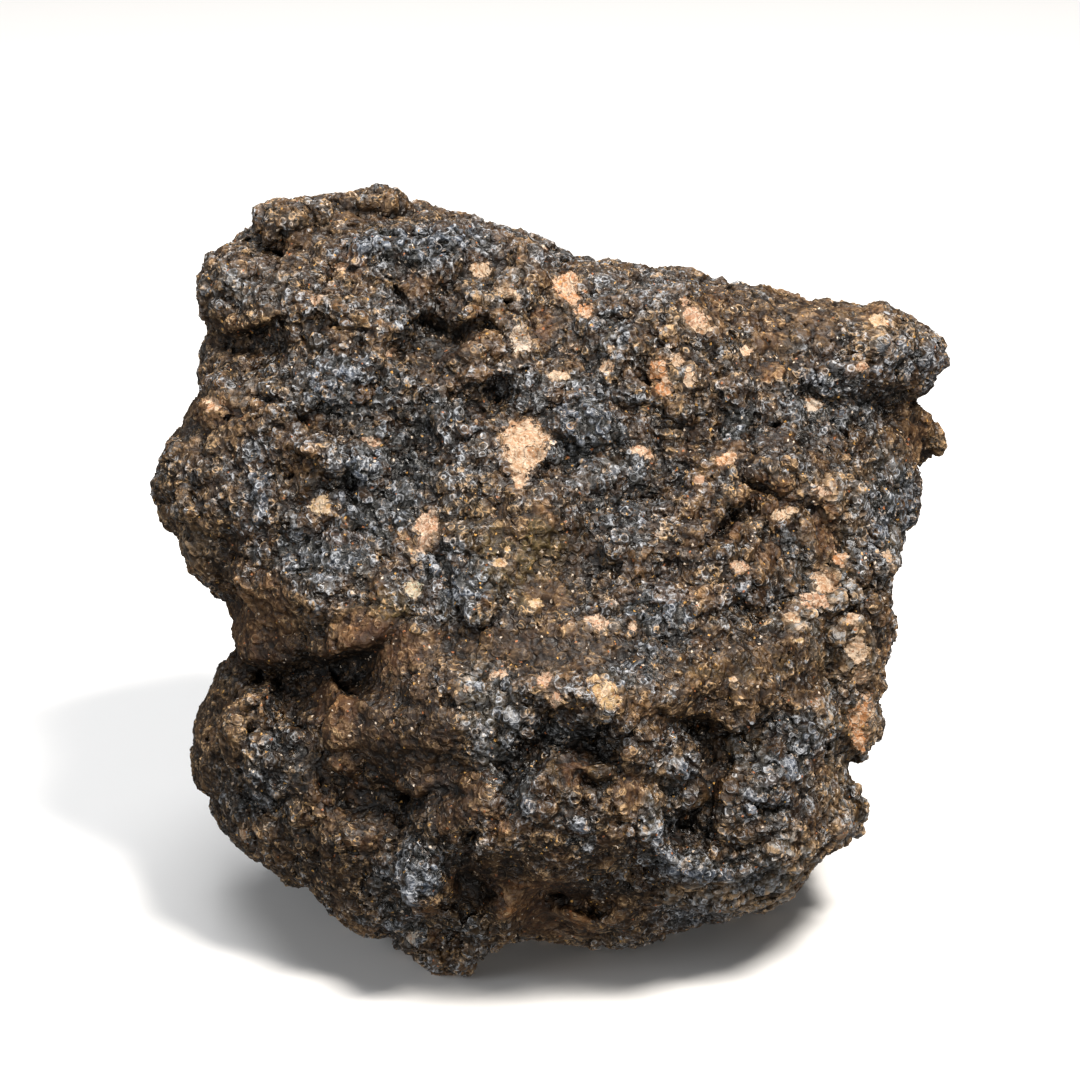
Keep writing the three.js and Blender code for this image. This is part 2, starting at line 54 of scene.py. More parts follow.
# Outline seen square on to the broad face, as (u, v).
OUTLINE = np.array([
    (-18.3, 36.1), (-15.5, 35.6), (-13.5, 35.7), (-10.6, 33.8), (-6.6, 33.3), (-4.6, 31.8), (-1.5, 32.2), (-0.2, 31), (1.2, 30.7),
    (2.6, 29.4), (6.1, 27.8), (8.6, 28.7), (10.9, 28.1), (13, 28.7), (15.5, 27.9), (17.1, 26.7), (18.7, 26.8), (21.6, 25.9),
    (23.1, 26.1), (25.7, 25.1), (31.2, 24.1), (33, 23.9), (35.4, 24.7), (38.9, 22.6), (40.9, 20.5), (40.9, 18.2), (41.4, 16.8),
    (40.9, 15.7), (39.4, 14.7), (37.6, 14.1), (39.2, 13.6), (39.9, 12.2), (40.9, 11.2), (41.3, 9.4), (40.7, 8.4), (38.8, 7.2),
    (38.5, 2.7), (36.9, 0.3), (37, -2.4), (35.5, -5.3), (36.2, -8.6), (35.1, -13), (35.2, -15), (34.6, -16.7), (34.9, -18.9),
    (33.3, -22.2), (32, -22.7), (31.5, -23.4), (32.9, -28.2), (32.6, -29.6), (31.7, -30.7), (29.1, -32.1), (26.4, -36.9), (22.9, -38.2),
    (20.9, -38), (19.1, -38.7), (16.7, -38.6), (16, -39), (6.3, -42.3), (2.9, -41.3), (0.3, -41.7), (-3.6, -41.2), (-5.2, -43),
    (-6.3, -43.4), (-9.4, -43.7), (-12.1, -43.1), (-15.5, -41.1), (-17.8, -40.9), (-20.6, -39.3), (-21.8, -38.4), (-23.8, -35.5), (-26.1, -35.6),
    (-28.9, -33.9), (-32.9, -28.8), (-33.9, -26.3), (-35.4, -25), (-36.1, -22.9), (-35.4, -20.2), (-35.6, -18.5), (-33.1, -13.8), (-32.8, -12.1),
    (-31.7, -10.9), (-31.9, -9.6), (-31.4, -8.5), (-31.7, -6.1), (-35.7, -3.1), (-36.7, 0.3), (-38.1, 1.7), (-38.4, 4.9), (-39.2, 6.6),
    (-38.8, 9.4), (-36.9, 11.5), (-35, 14.9), (-35.1, 16), (-34, 21.6), (-35.3, 23.6), (-35.7, 25.4), (-34.2, 29.1), (-29.7, 31.8),
    (-26.9, 34.9), (-24.7, 35.3), (-23.6, 35.1), (-21.9, 35.6), (-20.2, 35.2),
])

# Broad planes of the front: (u, v, w, rise along u, rise along v).
UPPER_PLANES = [
    (6.1, 7.1, 13, -0.03, -0.4),
    (-29.6, 7.1, 8, 0.42, -0.12),
    (-9.2, 30.6, -1, 0.05, -1.25),
    (31.6, 4.1, 7, -0.7, -0.05),
    (-22.4, -11.4, 16, 0.35, 2.6),
]
LOWER_PLANES = [
    (6.1, -12.8, 21.5, 0, -1.25),
    (6.1, -24.5, 24, 0, 0.22),
    (6.1, -36.2, 15, 0, 1.5),
    (-24.5, -23.5, 10, 0.6, 0.12),
    (26.5, -26.5, 13, -0.55, 0.1),
    (-12.2, -16.3, 23, 0.3, -0.55),
]
UPPER_BLEND, LOWER_BLEND, TERRACE_BLEND, RIM = 4.5, 3, 1.6, 9

# Bumps (+) and hollows (-): (name, u, v, half length, half width, turn in degrees, height, edge sharpness).
BUMPS = [
    ("top_left_bulge", -28.4, 26, 7, 4.4, -8, 3, 2),
    ("top_left_crown", -19.2, 32.4, 10, 3.6, -4, 2.6, 2),
    ("top_mid_crown", -4.1, 28.8, 8, 3.5, -20, 1, 2),
    ("top_left_dip", -15.8, 25.5, 7.5, 2.2, -14, -1.6, 2),
    ("hollow_1", -10, 20.3, 4.8, 2.4, -4, -3.4, 2.6),
    ("hollow_1_left", -14.8, 19.2, 3, 1.6, 10, -1, 2),
    ("hollow_2", -7.1, 14, 2.8, 1.6, 0, -2.8, 2.6),
    ("between_hollows", -6.3, 16.9, 3.2, 1.3, 0, 1, 2),
    ("rust_hollow", 1.3, 23, 2.8, 2.6, 0, -2.4, 2),
    ("bump_380_330", -16.5, 21.9, 1.8, 2.2, 20, 1.4, 2),
    ("top_band_right", 10.2, 25.5, 6, 3, -6, 1.4, 2),
    ("top_band_mid", 24, 21.4, 7, 3.4, -12, 1.2, 2),
    ("dip_650_430", 11.2, 11.7, 6, 4.5, 0, -1.3, 2),
    ("bump_590_420", 4.6, 12.2, 4, 4, 0, 1.1, 2),
    ("pit_725_520", 18.7, 1.7, 2.4, 1.6, 10, -4.6, 2.2),
    ("pit_630_500", 9.4, 4.4, 2.6, 2, 0, -1.8, 2),
    ("hollow_right", 24, 11.7, 6, 2.4, -8, -2.2, 2),
    ("channel_right", 29.3, 0.8, 1.2, 3.4, 0, -1.8, 2),
    ("right_col", 33.2, 0, 2.4, 6, 0, 1.4, 2),
    ("top_right_knob", 35.2, 19.9, 5, 3.6, -30, 2.6, 2),
    ("mid_left_bulge", -34.2, 6.1, 4.5, 6, 0, 1.6, 2),
    ("mid_left_ridge", -24.5, 10.7, 7, 2.6, -18, 1.6, 2),
    ("mid_left_low", -22.4, -4.1, 9, 3.8, -8, 2.2, 2),
    ("mid_left_dip", -14.8, 7.1, 3.5, 5.5, 20, -1.4, 2),
    ("face_low", -2, -3.1, 9, 4, 0, -1.6, 2),
    ("face_right_mid", 10.2, 1, 7, 6, 0, 1, 2),
    ("face_low_right", 22.4, -6.1, 6, 4, 0, 1, 2),
    ("front_low_bulge", -12.8, -18.9, 6.5, 5.2, -14, 2.6, 3),
    ("grey_slope", -4.6, -18.9, 3, 5, 20, -1.6, 2),
    ("valley_l", 2, -21.2, 4.4, 2.2, 12, -3.6, 2),
    ("valley_l2", -2.4, -23.7, 1.8, 2.8, 10, -2.2, 2),
    ("valley_l3", 0.5, -17.1, 2.2, 1.6, -30, -1.4, 2),
    ("pocket_595", 5.8, -19.2, 1.8, 1.1, 20, -1.7, 2),
    ("cobble_580", 5.1, -23.5, 2.6, 2.2, 20, 1.8, 2),
    ("cobble_545", 0.2, -25, 2.2, 2, 20, 1.4, 2),
    ("cobble_455", -8.5, -27.8, 2.8, 2.4, 10, 2.2, 2),
    ("block_left", 10.2, -26.5, 4.6, 5.4, 10, 1.6, 2),
    ("block_mid_low", 3.1, -31.6, 6.5, 2.6, 0, 1.6, 2),
    ("block_right", 24.5, -23, 6, 4.6, 0, 2, 2),
    ("hollow_590_783", 5.1, -25.1, 2.2, 0.8, 0, -1.4, 2),
    ("crevice_right", 17.1, -23, 1.5, 3.4, 4, -2.8, 2),
    ("crevice_low", 16.7, -28.8, 1.7, 2.4, 10, -1.8, 2),
    ("ridge_grey", 15.3, -32.9, 3.2, 0.9, -18, 1.4, 2),
    ("ridge_grey_l", 12.4, -29.8, 0.9, 2.6, 30, 1.2, 2),
    ("recess_775_808", 23.7, -27.3, 1.5, 0.9, 10, -1.8, 2),
    ("recess_800_790", 26.7, -25.3, 1, 1.4, 0, -1.1, 2),
    ("pit_828_755", 29.5, -22.7, 0.8, 1.8, -10, -1.5, 2),
    ("recess_bottom", -7.3, -34.9, 2.5, 2.2, -50, -5, 2.4),
    ("recess_red", -1, -37.6, 4.8, 2.8, -34, -3.4, 2),
    ("slot_bottom", 5.9, -36, 4.8, 1.4, 8, -4, 2),
    ("bottom_knob", -8, -39.6, 3.8, 3, 0, 3.8, 2),
    ("block_j", -13.1, -33.7, 4.4, 2.8, 10, 3.2, 2),
    ("left_flank_bulge", -28.4, -26.5, 5.5, 5.5, 0, 1.8, 2),
    ("left_flank_mid", -21.4, -29.6, 5, 3, -10, 1, 2),
    ("left_concave", -23.7, -17.6, 1.8, 3.2, -20, -2.8, 2),
    ("neck_left", -28.4, -11.2, 5, 2.4, 10, -3.4, 2),
    ("bottom_mid", 7.1, -39.3, 4, 1.8, 8, 2, 2),
    ("bottom_right", 20.9, -34.7, 6, 2.2, 12, 1, 2),
]

# Ledges: (name, edge line, lip height, lip width, step depth, step width); the upper side stands out.
LEDGES = [
    ("cleft_top_left", [(-34.7, 22.2), (-31.4, 21), (-28.4, 21.6), (-24.9, 22.7)], 0.8, 2.5, 3, 2.8),
    ("lip_top", [(-21.9, 29.6), (-19.4, 28.9), (-16.5, 28)], 0.6, 3, 1.4, 1.6),
    ("top_fold", [(-26, 20.9), (-21.4, 22.7), (-17.1, 21.9), (-13.8, 22.7)], 0.6, 2.2, 1.2, 2),
    ("hollow_1_rim", [(-13.9, 22.9), (-11.2, 22.1), (-8.7, 21.5), (-5.3, 22.2)], 0.4, 2, 1, 1.4),
    ("hollow_2_rim", [(-10.2, 15.5), (-7.1, 15.2), (-4.1, 15.5)], 0.3, 1.5, 1.2, 1.2),
    ("left_a", [(-30, 15.3), (-25.5, 14.3), (-22.2, 13.1)], 0.6, 2.5, 1.5, 1.8),
    ("left_b", [(-24.5, 9.2), (-19.6, 7.1), (-17.8, 4.6)], 0.5, 2.5, 1, 2.2),
    ("left_c", [(-28.4, 2), (-26.1, 0.8), (-23.3, 1.2)], 0.5, 2.5, 1.3, 1.5),
    ("left_d", [(-36.2, 3.1), (-33.2, -0.8), (-29.6, -2.7)], 0.5, 2.2, 1.5, 2),
    ("undercut_left", [(-31.4, -10.7), (-28.1, -13.1), (-24.5, -12.7), (-21.6, -13.5), (-19.4, -11.4), (-14.1, -8.8)], 0.8, 3, 6.6, 3.4),
    ("front_low_lip", [(-24.5, -20.2), (-21.4, -23.1), (-16.8, -24.9), (-13.1, -26.5), (-10, -26.1), (-8, -24.5)], 0.6, 3, 1.4, 2.6),
    ("cobble_lip", [(-11, -29.8), (-8.4, -30.8), (-5.5, -29.4)], 0.3, 2, 1.4, 1.4),
    ("lower_centre", [(-9, -31.6), (-5.9, -32.9), (-3.1, -33.9), (2, -35.3), (7.3, -34.9), (11.2, -34.3)], 0.6, 2.5, 2.4, 2.4),
    ("block_j_right", [(-11.7, -38), (-9.7, -36), (-8.2, -32.9)], 0.3, 2, 1.8, 1.8),
    ("terrace_drop", [(-2.6, -16.7), (2, -18.4), (6.1, -19.4), (10.2, -18.6), (13.5, -20.2)], 0.4, 1.8, 1.3, 2.2),
    ("terrace_lip", [(10.2, -18), (18.4, -18.6), (26.5, -18), (30.4, -19)], 0.5, 2.2, 1.2, 2.6),
    ("right_mid", [(19.9, 6.1), (25.5, 4.3), (28.1, 4.1)], 0.5, 2.2, 1.4, 1.4),
    ("face_a", [(0, 11.2), (5.1, 9), (10.2, 9.6)], 0.4, 2.2, 1.1, 1.8),
    ("face_b", [(6.1, -2), (12.2, -3.3), (16.3, -2)], 0.5, 2.2, 1.1, 1.8),
    ("top_right_low", [(33.3, 15.1), (37.2, 14.5), (40.6, 14.7)], 0.4, 2, 3, 1.8),
    ("block_m_low", [(10.2, -34.7), (16.3, -34.1), (22.4, -34.7), (26.5, -33.5)], 0.3, 1.8, 1.4, 1.6),
]

# Bumps and hollows of the back, height outwards.
BACK_BUMPS = [
    ("back_shoulder", -14.3, 16.3, 13, 8, -20, 2.6, 2),
    ("back_boss", 11.2, -2, 11, 12, 10, 3, 2),
    ("back_hollow_a", 2, 11.2, 7, 5, 15, -3.4, 2),
    ("back_hollow_b", -17.3, -8.2, 6, 8, -10, -3.8, 2),
    ("back_step", 18.4, -18.4, 9, 6, 0, -3, 2),
    ("back_low_boss", -6.1, -22.4, 10, 7, 0, 2.4, 2),
    ("back_pit_a", 8.2, 19.4, 3, 2.4, 0, -2.6, 2),
    ("back_pit_b", 25.5, 6.1, 2.6, 3.4, 0, -2.8, 2),
    ("back_ridge", 28.6, -8.2, 3, 10, 10, 1.8, 2),
    ("back_pit_c", -4.1, -5.1, 2.6, 2.2, 0, -2.4, 2),
    ("back_left_edge", -28.6, 6.1, 5, 8, 0, 1.6, 2),
    ("back_pit_d", -24.5, -24.5, 2.6, 2.2, 0, -2.2, 2),
]

# Rounded knobs at the rim: (name, u, v, w, half sizes).
KNOBS = [
    ("finger", 39.1, 10.7, -15, 3.4, 2.7, 6.5),
    ("top_right", 39, 18.9, -8, 3.1, 2.9, 6),
    ("crown", -16, 33.9, -8, 4.4, 2.5, 6),
    ("crown_left", -25, 32.6, -6, 4.4, 2.8, 6.5),
    ("right_side", 37.1, 5, -14, 2.7, 4.4, 8),
    ("foot", -9.1, -41, 2, 4.2, 2.6, 4),
    ("left_side", -36.9, 6.5, -10, 2.6, 5, 8),
    ("right_low", 31.4, -28, -4, 1.5, 2.4, 5),
]
SWELL = 0.12

# Pale clasts set in the crust: (kind, u, v, half length, half width, turn in degrees, wobble).
CLASTS = [
    ("tan", -1.6, 10.4, 2.7, 1.8, 0, 0.16),
    ("tan", -1.6, 9.1, 2.1, 1.6, 0, 0.16),
    ("tan", -1.8, 7.8, 1.4, 1.3, 0, 0.16),
    ("tan", -2, 6.6, 0.9, 1.1, 0, 0.2),
    ("tan", -2.1, 5.7, 0.6, 0.7, 0, 0.2),
    ("pink", -11.6, 1.6, 1.3, 1.5, -12, 0.22),
    ("pink", -11.8, -0.3, 0.9, 1, 0, 0.3),
    ("cream", -6, 27.7, 1.2, 0.8, 0, 0.3),
    ("cream", -3.2, 25.2, 1.6, 0.8, -28, 0.3),
    ("orange", 2.7, 26, 1.3, 1.2, 0, 0.4),
    ("orange", 4.6, 23.5, 1, 0.9, 0, 0.5),
    ("orange", 3.3, 24.7, 0.7, 0.6, 0, 0.6),
    ("white", -1.9, 20.4, 1, 1.5, 10, 0.4),
    ("tan", 6.8, 17.8, 0.8, 0.9, 0, 0.3),
    ("cream", 7.3, 19.4, 0.5, 0.9, 10, 0.6),
    ("orange", 12.2, 17.4, 1, 1.2, 0, 0.3),
    ("orange", 12.6, 15.5, 0.9, 0.9, 0, 0.3),
    ("tan", 13.9, 18.4, 0.8, 0.7, 0, 0.3),
    ("tan", 15.3, 16.7, 0.8, 1, 0, 0.35),
    ("pink", 16, 22.9, 1.6, 1, -20, 0.45),
    ("pink", 14.7, 24.5, 0.8, 0.7, 0, 0.5),
    ("cream", 16.6, 21.7, 0.9, 0.6, 0, 0.6),
    ("yellow", -22.2, 3.5, 1.1, 1.2, 0, 0.35),
    ("orange", 19, 8.2, 1.2, 0.6, 15, 0.4),
    ("cream", 24.6, 2.7, 1.4, 0.7, 12, 0.4),
    ("pink", 20.3, -2.8, 1.3, 0.9, 0, 0.4),
    ("tan", 29.2, -4.1, 1.6, 1.3, -20, 0.6),
    ("pink", 27.8, -6.3, 1.4, 0.9, 10, 0.6),
    ("orange", 30.5, -2, 0.8, 1, 0, 0.5),
    ("cream", 25.9, -7.9, 0.9, 0.5, -20, 0.7),
    ("pink", 5.9, -8.4, 1.4, 0.6, -8, 0.4),
    ("pink", 9.5, -8.7, 0.5, 0.7, 0, 0.3),
    ("yellow", 6.5, -15.3, 1.3, 1.1, 0, 0.28),
    ("yellow", 7.1, -16.7, 1.3, 0.9, 0, 0.3),
    ("pink", 0.6, -14.3, 0.8, 1.2, -20, 0.4),
    ("pink", 1.6, -16.3, 0.5, 1, -20, 0.4),
    ("cream", 32.6, -11.7, 1.1, 1.6, 8, 0.55),
    ("tan", 32.8, -13.9, 1, 1.2, 0, 0.6),
    ("orange", 32.7, -17.8, 1.3, 1.6, 5, 0.55),
    ("orange", 32.8, -20.5, 1, 1.4, 5, 0.55),
    ("cream", 33.9, -18, 0.7, 1, 0, 0.6),
    ("green", -13, -5, 0.9, 0.8, 0, 0.3),
    ("pink", -17.2, 10.2, 1.3, 0.5, -10, 0.5),
    ("orange", -33.1, 13.8, 1.1, 0.7, 10, 0.5),
    ("white", 12.1, 0.7, 0.5, 0.5, 0, 0.4),
    ("white", 5.9, 0.2, 0.4, 0.4, 0, 0.4),
    ("pink", -15.3, 19.1, 0.8, 0.5, 15, 0.5),
    ("yellow", 34.5, 22.3, 0.9, 0.8, 0, 0.4),
    ("pink", 33, 17.6, 0.8, 0.5, 0, 0.5),
    ("white", 27.7, 13.8, 0.8, 0.7, 0, 0.6),
    ("white", -12.9, -40.5, 0.9, 0.9, 0, 0.6),
    ("white", 0.1, 30.1, 1.2, 0.5, -20, 0.6),
    ("orange", -26.9, 30.1, 0.8, 0.5, 0, 0.6),
    ("pink", 16.3, 6.1, 0.7, 0.4, 0, 0.6),
    ("pink", 28.9, 4.9, 1.2, 0.5, 0, 0.6),
    ("yellow", 26.5, -10.2, 1, 0.4, 0, 0.6),
    ("yellow", -4.1, -2.3, 0.6, 0.4, 0, 0.5),
    ("yellow", -0.4, -6.5, 0.8, 0.6, 0, 0.4),
    ("yellow", -3.2, -0.9, 0.4, 0.4, 0, 0.5),
    ("pink", -20.4, 27.8, 1, 0.4, 0, 0.6),
    ("tan", -30.1, -29.8, 0.5, 0.9, -35, 0.5),
    ("white", -14.8, -36, 0.9, 0.5, 0, 0.7),
    ("pink", -4.1, -13.5, 1.4, 0.6, -20, 0.9),
    ("cream", 2, 16.7, 0.9, 0.5, 0, 0.9),
    ("pink", 10.2, 9, 1.2, 0.4, -20, 1),
    ("tan", 31.4, -30.1, 0.8, 0.6, 0, 0.9),
    ("tan", 31.8, -8.2, 0.6, 0.9, 0, 0.9),
    ("white", -7.1, -15.3, 0.7, 0.5, 0, 0.9),
    ("pink", -22.7, 24.5, 0.6, 0.4, 0, 0.8),
    ("tan", 35.5, -2, 0.5, 0.9, 0, 0.8),
    ("tan", 20.9, 19.2, 0.7, 0.4, 0, 0.9),
    ("yellow", -8, 7.1, 0.4, 0.4, 0, 0.7),
    ("cream", 19.9, -14.3, 0.6, 0.3, 0, 0.9),
]

# Rusty hollows and stains: (name, u, v, half length, half width, turn, strength).
RUST = [
    ("rust", 0, 21.9, 1.4, 2, 0, 0.75),
    ("rust", 2.6, 25.8, 2.4, 1.6, 0, 0.6),
    ("rust", -30.6, 20.9, 3.1, 1.8, 0, 0.45),
    ("rust", -33.2, 13.3, 2.6, 1.5, 0, 0.45),
    ("rust", -9.7, 18.8, 1.6, 1.6, 0, 0.5),
    ("rust", -7.1, 21.4, 1.4, 2.6, 0, 0.45),
    ("rust", 12.3, 16.7, 1.4, 2.4, 0, 0.6),
    ("rust", -6.3, 13.1, 1, 1.4, 0, 0.5),
    ("rust", 18.9, 1.1, 1.6, 1.2, 0, 0.8),
    ("rust", 23.3, 4.5, 3.3, 2, 10, 0.6),
    ("rust", 29.1, 1, 1.3, 5.1, 0, 0.95),
    ("rust", 23.2, -1.6, 1.6, 1.6, 0, 0.4),
    ("rust", 23.8, 17, 1.4, 1.4, 0, 0.65),
    ("rust", 23.5, 20.4, 1.8, 1.2, 0, 0.5),
    ("rust", 0.5, -5.7, 2.6, 1.8, 0, 0.55),
    ("rust", -28.6, -9.2, 3.6, 5.1, 0, 0.55),
    ("rust", -16.8, -10.7, 5.1, 3.1, 0, 0.75),
    ("rust", -20.9, -16.9, 2.9, 4.9, 25, 0.75),
    ("rust", -20.4, -25, 3.6, 2.9, 0, 0.45),
    ("rust", -9.2, -26, 3.3, 3.5, 0, 0.5),
    ("rust", -15.7, -19.9, 1.4, 1, 0, 0.5),
    ("rust", -6.6, -34.7, 2.7, 2.2, 0, 0.7),
    ("rust", 0.8, -37.3, 5.1, 2.8, -10, 0.95),
    ("rust", -11.2, -37.3, 1.5, 1, 0, 0.6),
    ("rust", -10.7, -40.4, 0.8, 1.4, 0, 0.6),
    ("rust", 3.6, -23.1, 1.4, 2.4, 0, 0.8),
    ("rust", 9.2, -25.5, 1.6, 2, 0, 0.65),
    ("rust", 17.6, -23.1, 1, 4.3, 0, 0.95),
    ("rust", 32.2, -19.9, 1.4, 1.8, 0, 0.5),
    ("rust", -4.1, -29.2, 1, 1.2, 0, 0.55),
    ("rust", -17.8, -30.8, 1.8, 1.2, 0, 0.4),
    ("rust", 38.4, 10.6, 1.2, 2.7, -25, 0.55),
    ("rust", -19.4, 28, 2.4, 1.4, 15, 0.5),
    ("rust", -12.2, 26, 2.7, 1, 0, 0.4),
    ("rust", 18.9, 8, 1.4, 0.9, 0, 0.5),
    ("rust", -24.5, 7.7, 1.4, 1, 0, 0.5),
    ("rust", -21.9, 3.1, 1.4, 1.6, 0, 0.35),
    ("rust", -30.8, -2, 1.6, 1.4, 0, 0.4),
    ("rust", 17.3, 23.7, 3.1, 1.4, 0, 0.4),
    ("rust", 15.3, 10.2, 1, 2.4, 0, 0.5),
    ("rust", 34.2, 22.7, 1.2, 1.6, 0, 0.45),
    ("rust", -27.6, -0.5, 1, 1.6, 0, 0.45),
    ("rust", 7.1, -37.2, 3.1, 1.4, 0, 0.35),
    ("rust", 26.5, -34.7, 1.4, 2.2, 0, 0.35),
    ("rust", -5.6, -6.8, 1, 1, 0, 0.5),
    ("rust", 10.2, -16.3, 0.8, 0.8, 0, 0.3),
    ("rust", 23.5, -24.3, 1, 0.8, 0, 0.4),
    ("rust", 28.6, -23.3, 2.2, 0.8, -15, 0.4),
]

# Smooth brown patina: the same.
PATINA = [
    ("neck", -28.4, -9.4, 4.9, 4.5, 0, 0.9),
    ("undercut", -17.3, -10.7, 4.9, 3.1, 0, 1),
    ("undercut_low", -21.1, -15.8, 3.7, 5.1, 30, 0.95),
    ("lobe", -14.3, -19.9, 8.4, 6.7, 0, 0.75),
    ("facet", -14.1, -19.9, 6.5, 5.1, 0, 1),
    ("lobe_low", -19.4, -25.5, 7.1, 4.5, 0, 0.6),
    ("lobe_foot", -9, -25.7, 3.5, 4.5, 0, 0.85),
    ("left_rim", -33.2, -20.9, 3.5, 9, 0, 0.6),
    ("left_low", -21.4, -32.1, 6.3, 4.7, -20, 0.55),
    ("recess", -6.1, -34.9, 3.5, 2.7, 0, 0.9),
    ("recess_red", 0.5, -37.6, 5.3, 3.1, -12, 1),
    ("terrace_left", -11.2, -11.7, 7.1, 2.2, 5, 1),
    ("terrace_mid", -1, -11.4, 9.7, 2.2, 0, 0.95),
    ("terrace_right", 20.4, -13.1, 8.2, 3.5, 0, 0.85),
    ("terrace_edge", 16.3, -17.6, 6.1, 1.2, 0, 1),
    ("left_edge", -33.2, 12.2, 3.5, 2.9, 0, 0.65),
    ("left_edge_b", -34.7, -0.5, 4.5, 3.9, 0, 0.55),
    ("cleft", -30.8, 20.6, 3.7, 2.4, 0, 0.6),
    ("top_left", -24.5, 31.4, 4.5, 3.1, 0, 0.4),
    ("top_edge", -16.3, 33.5, 7.1, 1.6, 0, 0.4),
    ("top_right", 27.6, 23.3, 7.1, 2, -5, 0.55),
    ("top_mid", 17.6, 23.5, 3.5, 1.8, 0, 0.4),
    ("streak", -2, 0, 3.5, 4.9, 0, 0.55),
    ("streak_low", 0.5, -5.1, 3.7, 2.7, 0, 0.7),
    ("right_a", 22.7, 4.1, 3.5, 2.4, 0, 0.45),
    ("right_b", 23.3, -2, 2.7, 2, 0, 0.35),
    ("right_c", 15.3, -2.6, 1.4, 2.7, 0, 0.4),
    ("right_low", 17.6, -23.1, 1.4, 4.1, 0, 0.8),
    ("cobble", 8.4, -25, 3.1, 2.7, 0, 0.55),
    ("valley", 3.6, -23.3, 2.4, 2.4, 0, 0.6),
    ("low_a", 6.1, -31.6, 2.7, 2.2, 0, 0.4),
    ("low_b", 0.5, -31.6, 1.8, 2.7, 20, 0.35),
    ("side", 29.8, -23.1, 3.1, 1.2, -15, 0.4),
    ("low_right", 26.5, -34.7, 1.8, 2.7, 0, 0.4),
    ("side_b", 32.7, -19.9, 1.4, 2.2, 0, 0.4),
    ("low_c", 9.4, -37.2, 3.1, 1.6, 0, 0.45),
    ("finger", 38.3, 11.2, 3.3, 3.5, 0, 0.6),
    ("hollow_right", 23.7, 19.4, 2.7, 3.5, 0, 0.55),
    ("terrace_low", 10.2, -10.2, 7.1, 2, 0, 0.4),
    ("side_c", 32.7, -11.2, 1.6, 3.1, 0, 0.3),
    ("mid_left", -24.5, 7.7, 2, 1.4, 0, 0.4),
    ("pink_by", -11.8, 0.5, 1.8, 3.1, 0, 0.4),
    ("hollow_a", -9.2, 19.9, 3.5, 2.7, 0, 0.4),
    ("block_right", 23.5, -19.9, 3.1, 1.4, 0, 0.35),
    ("hollow_b", 0, 21.9, 1.8, 2.2, 0, 0.5),
]

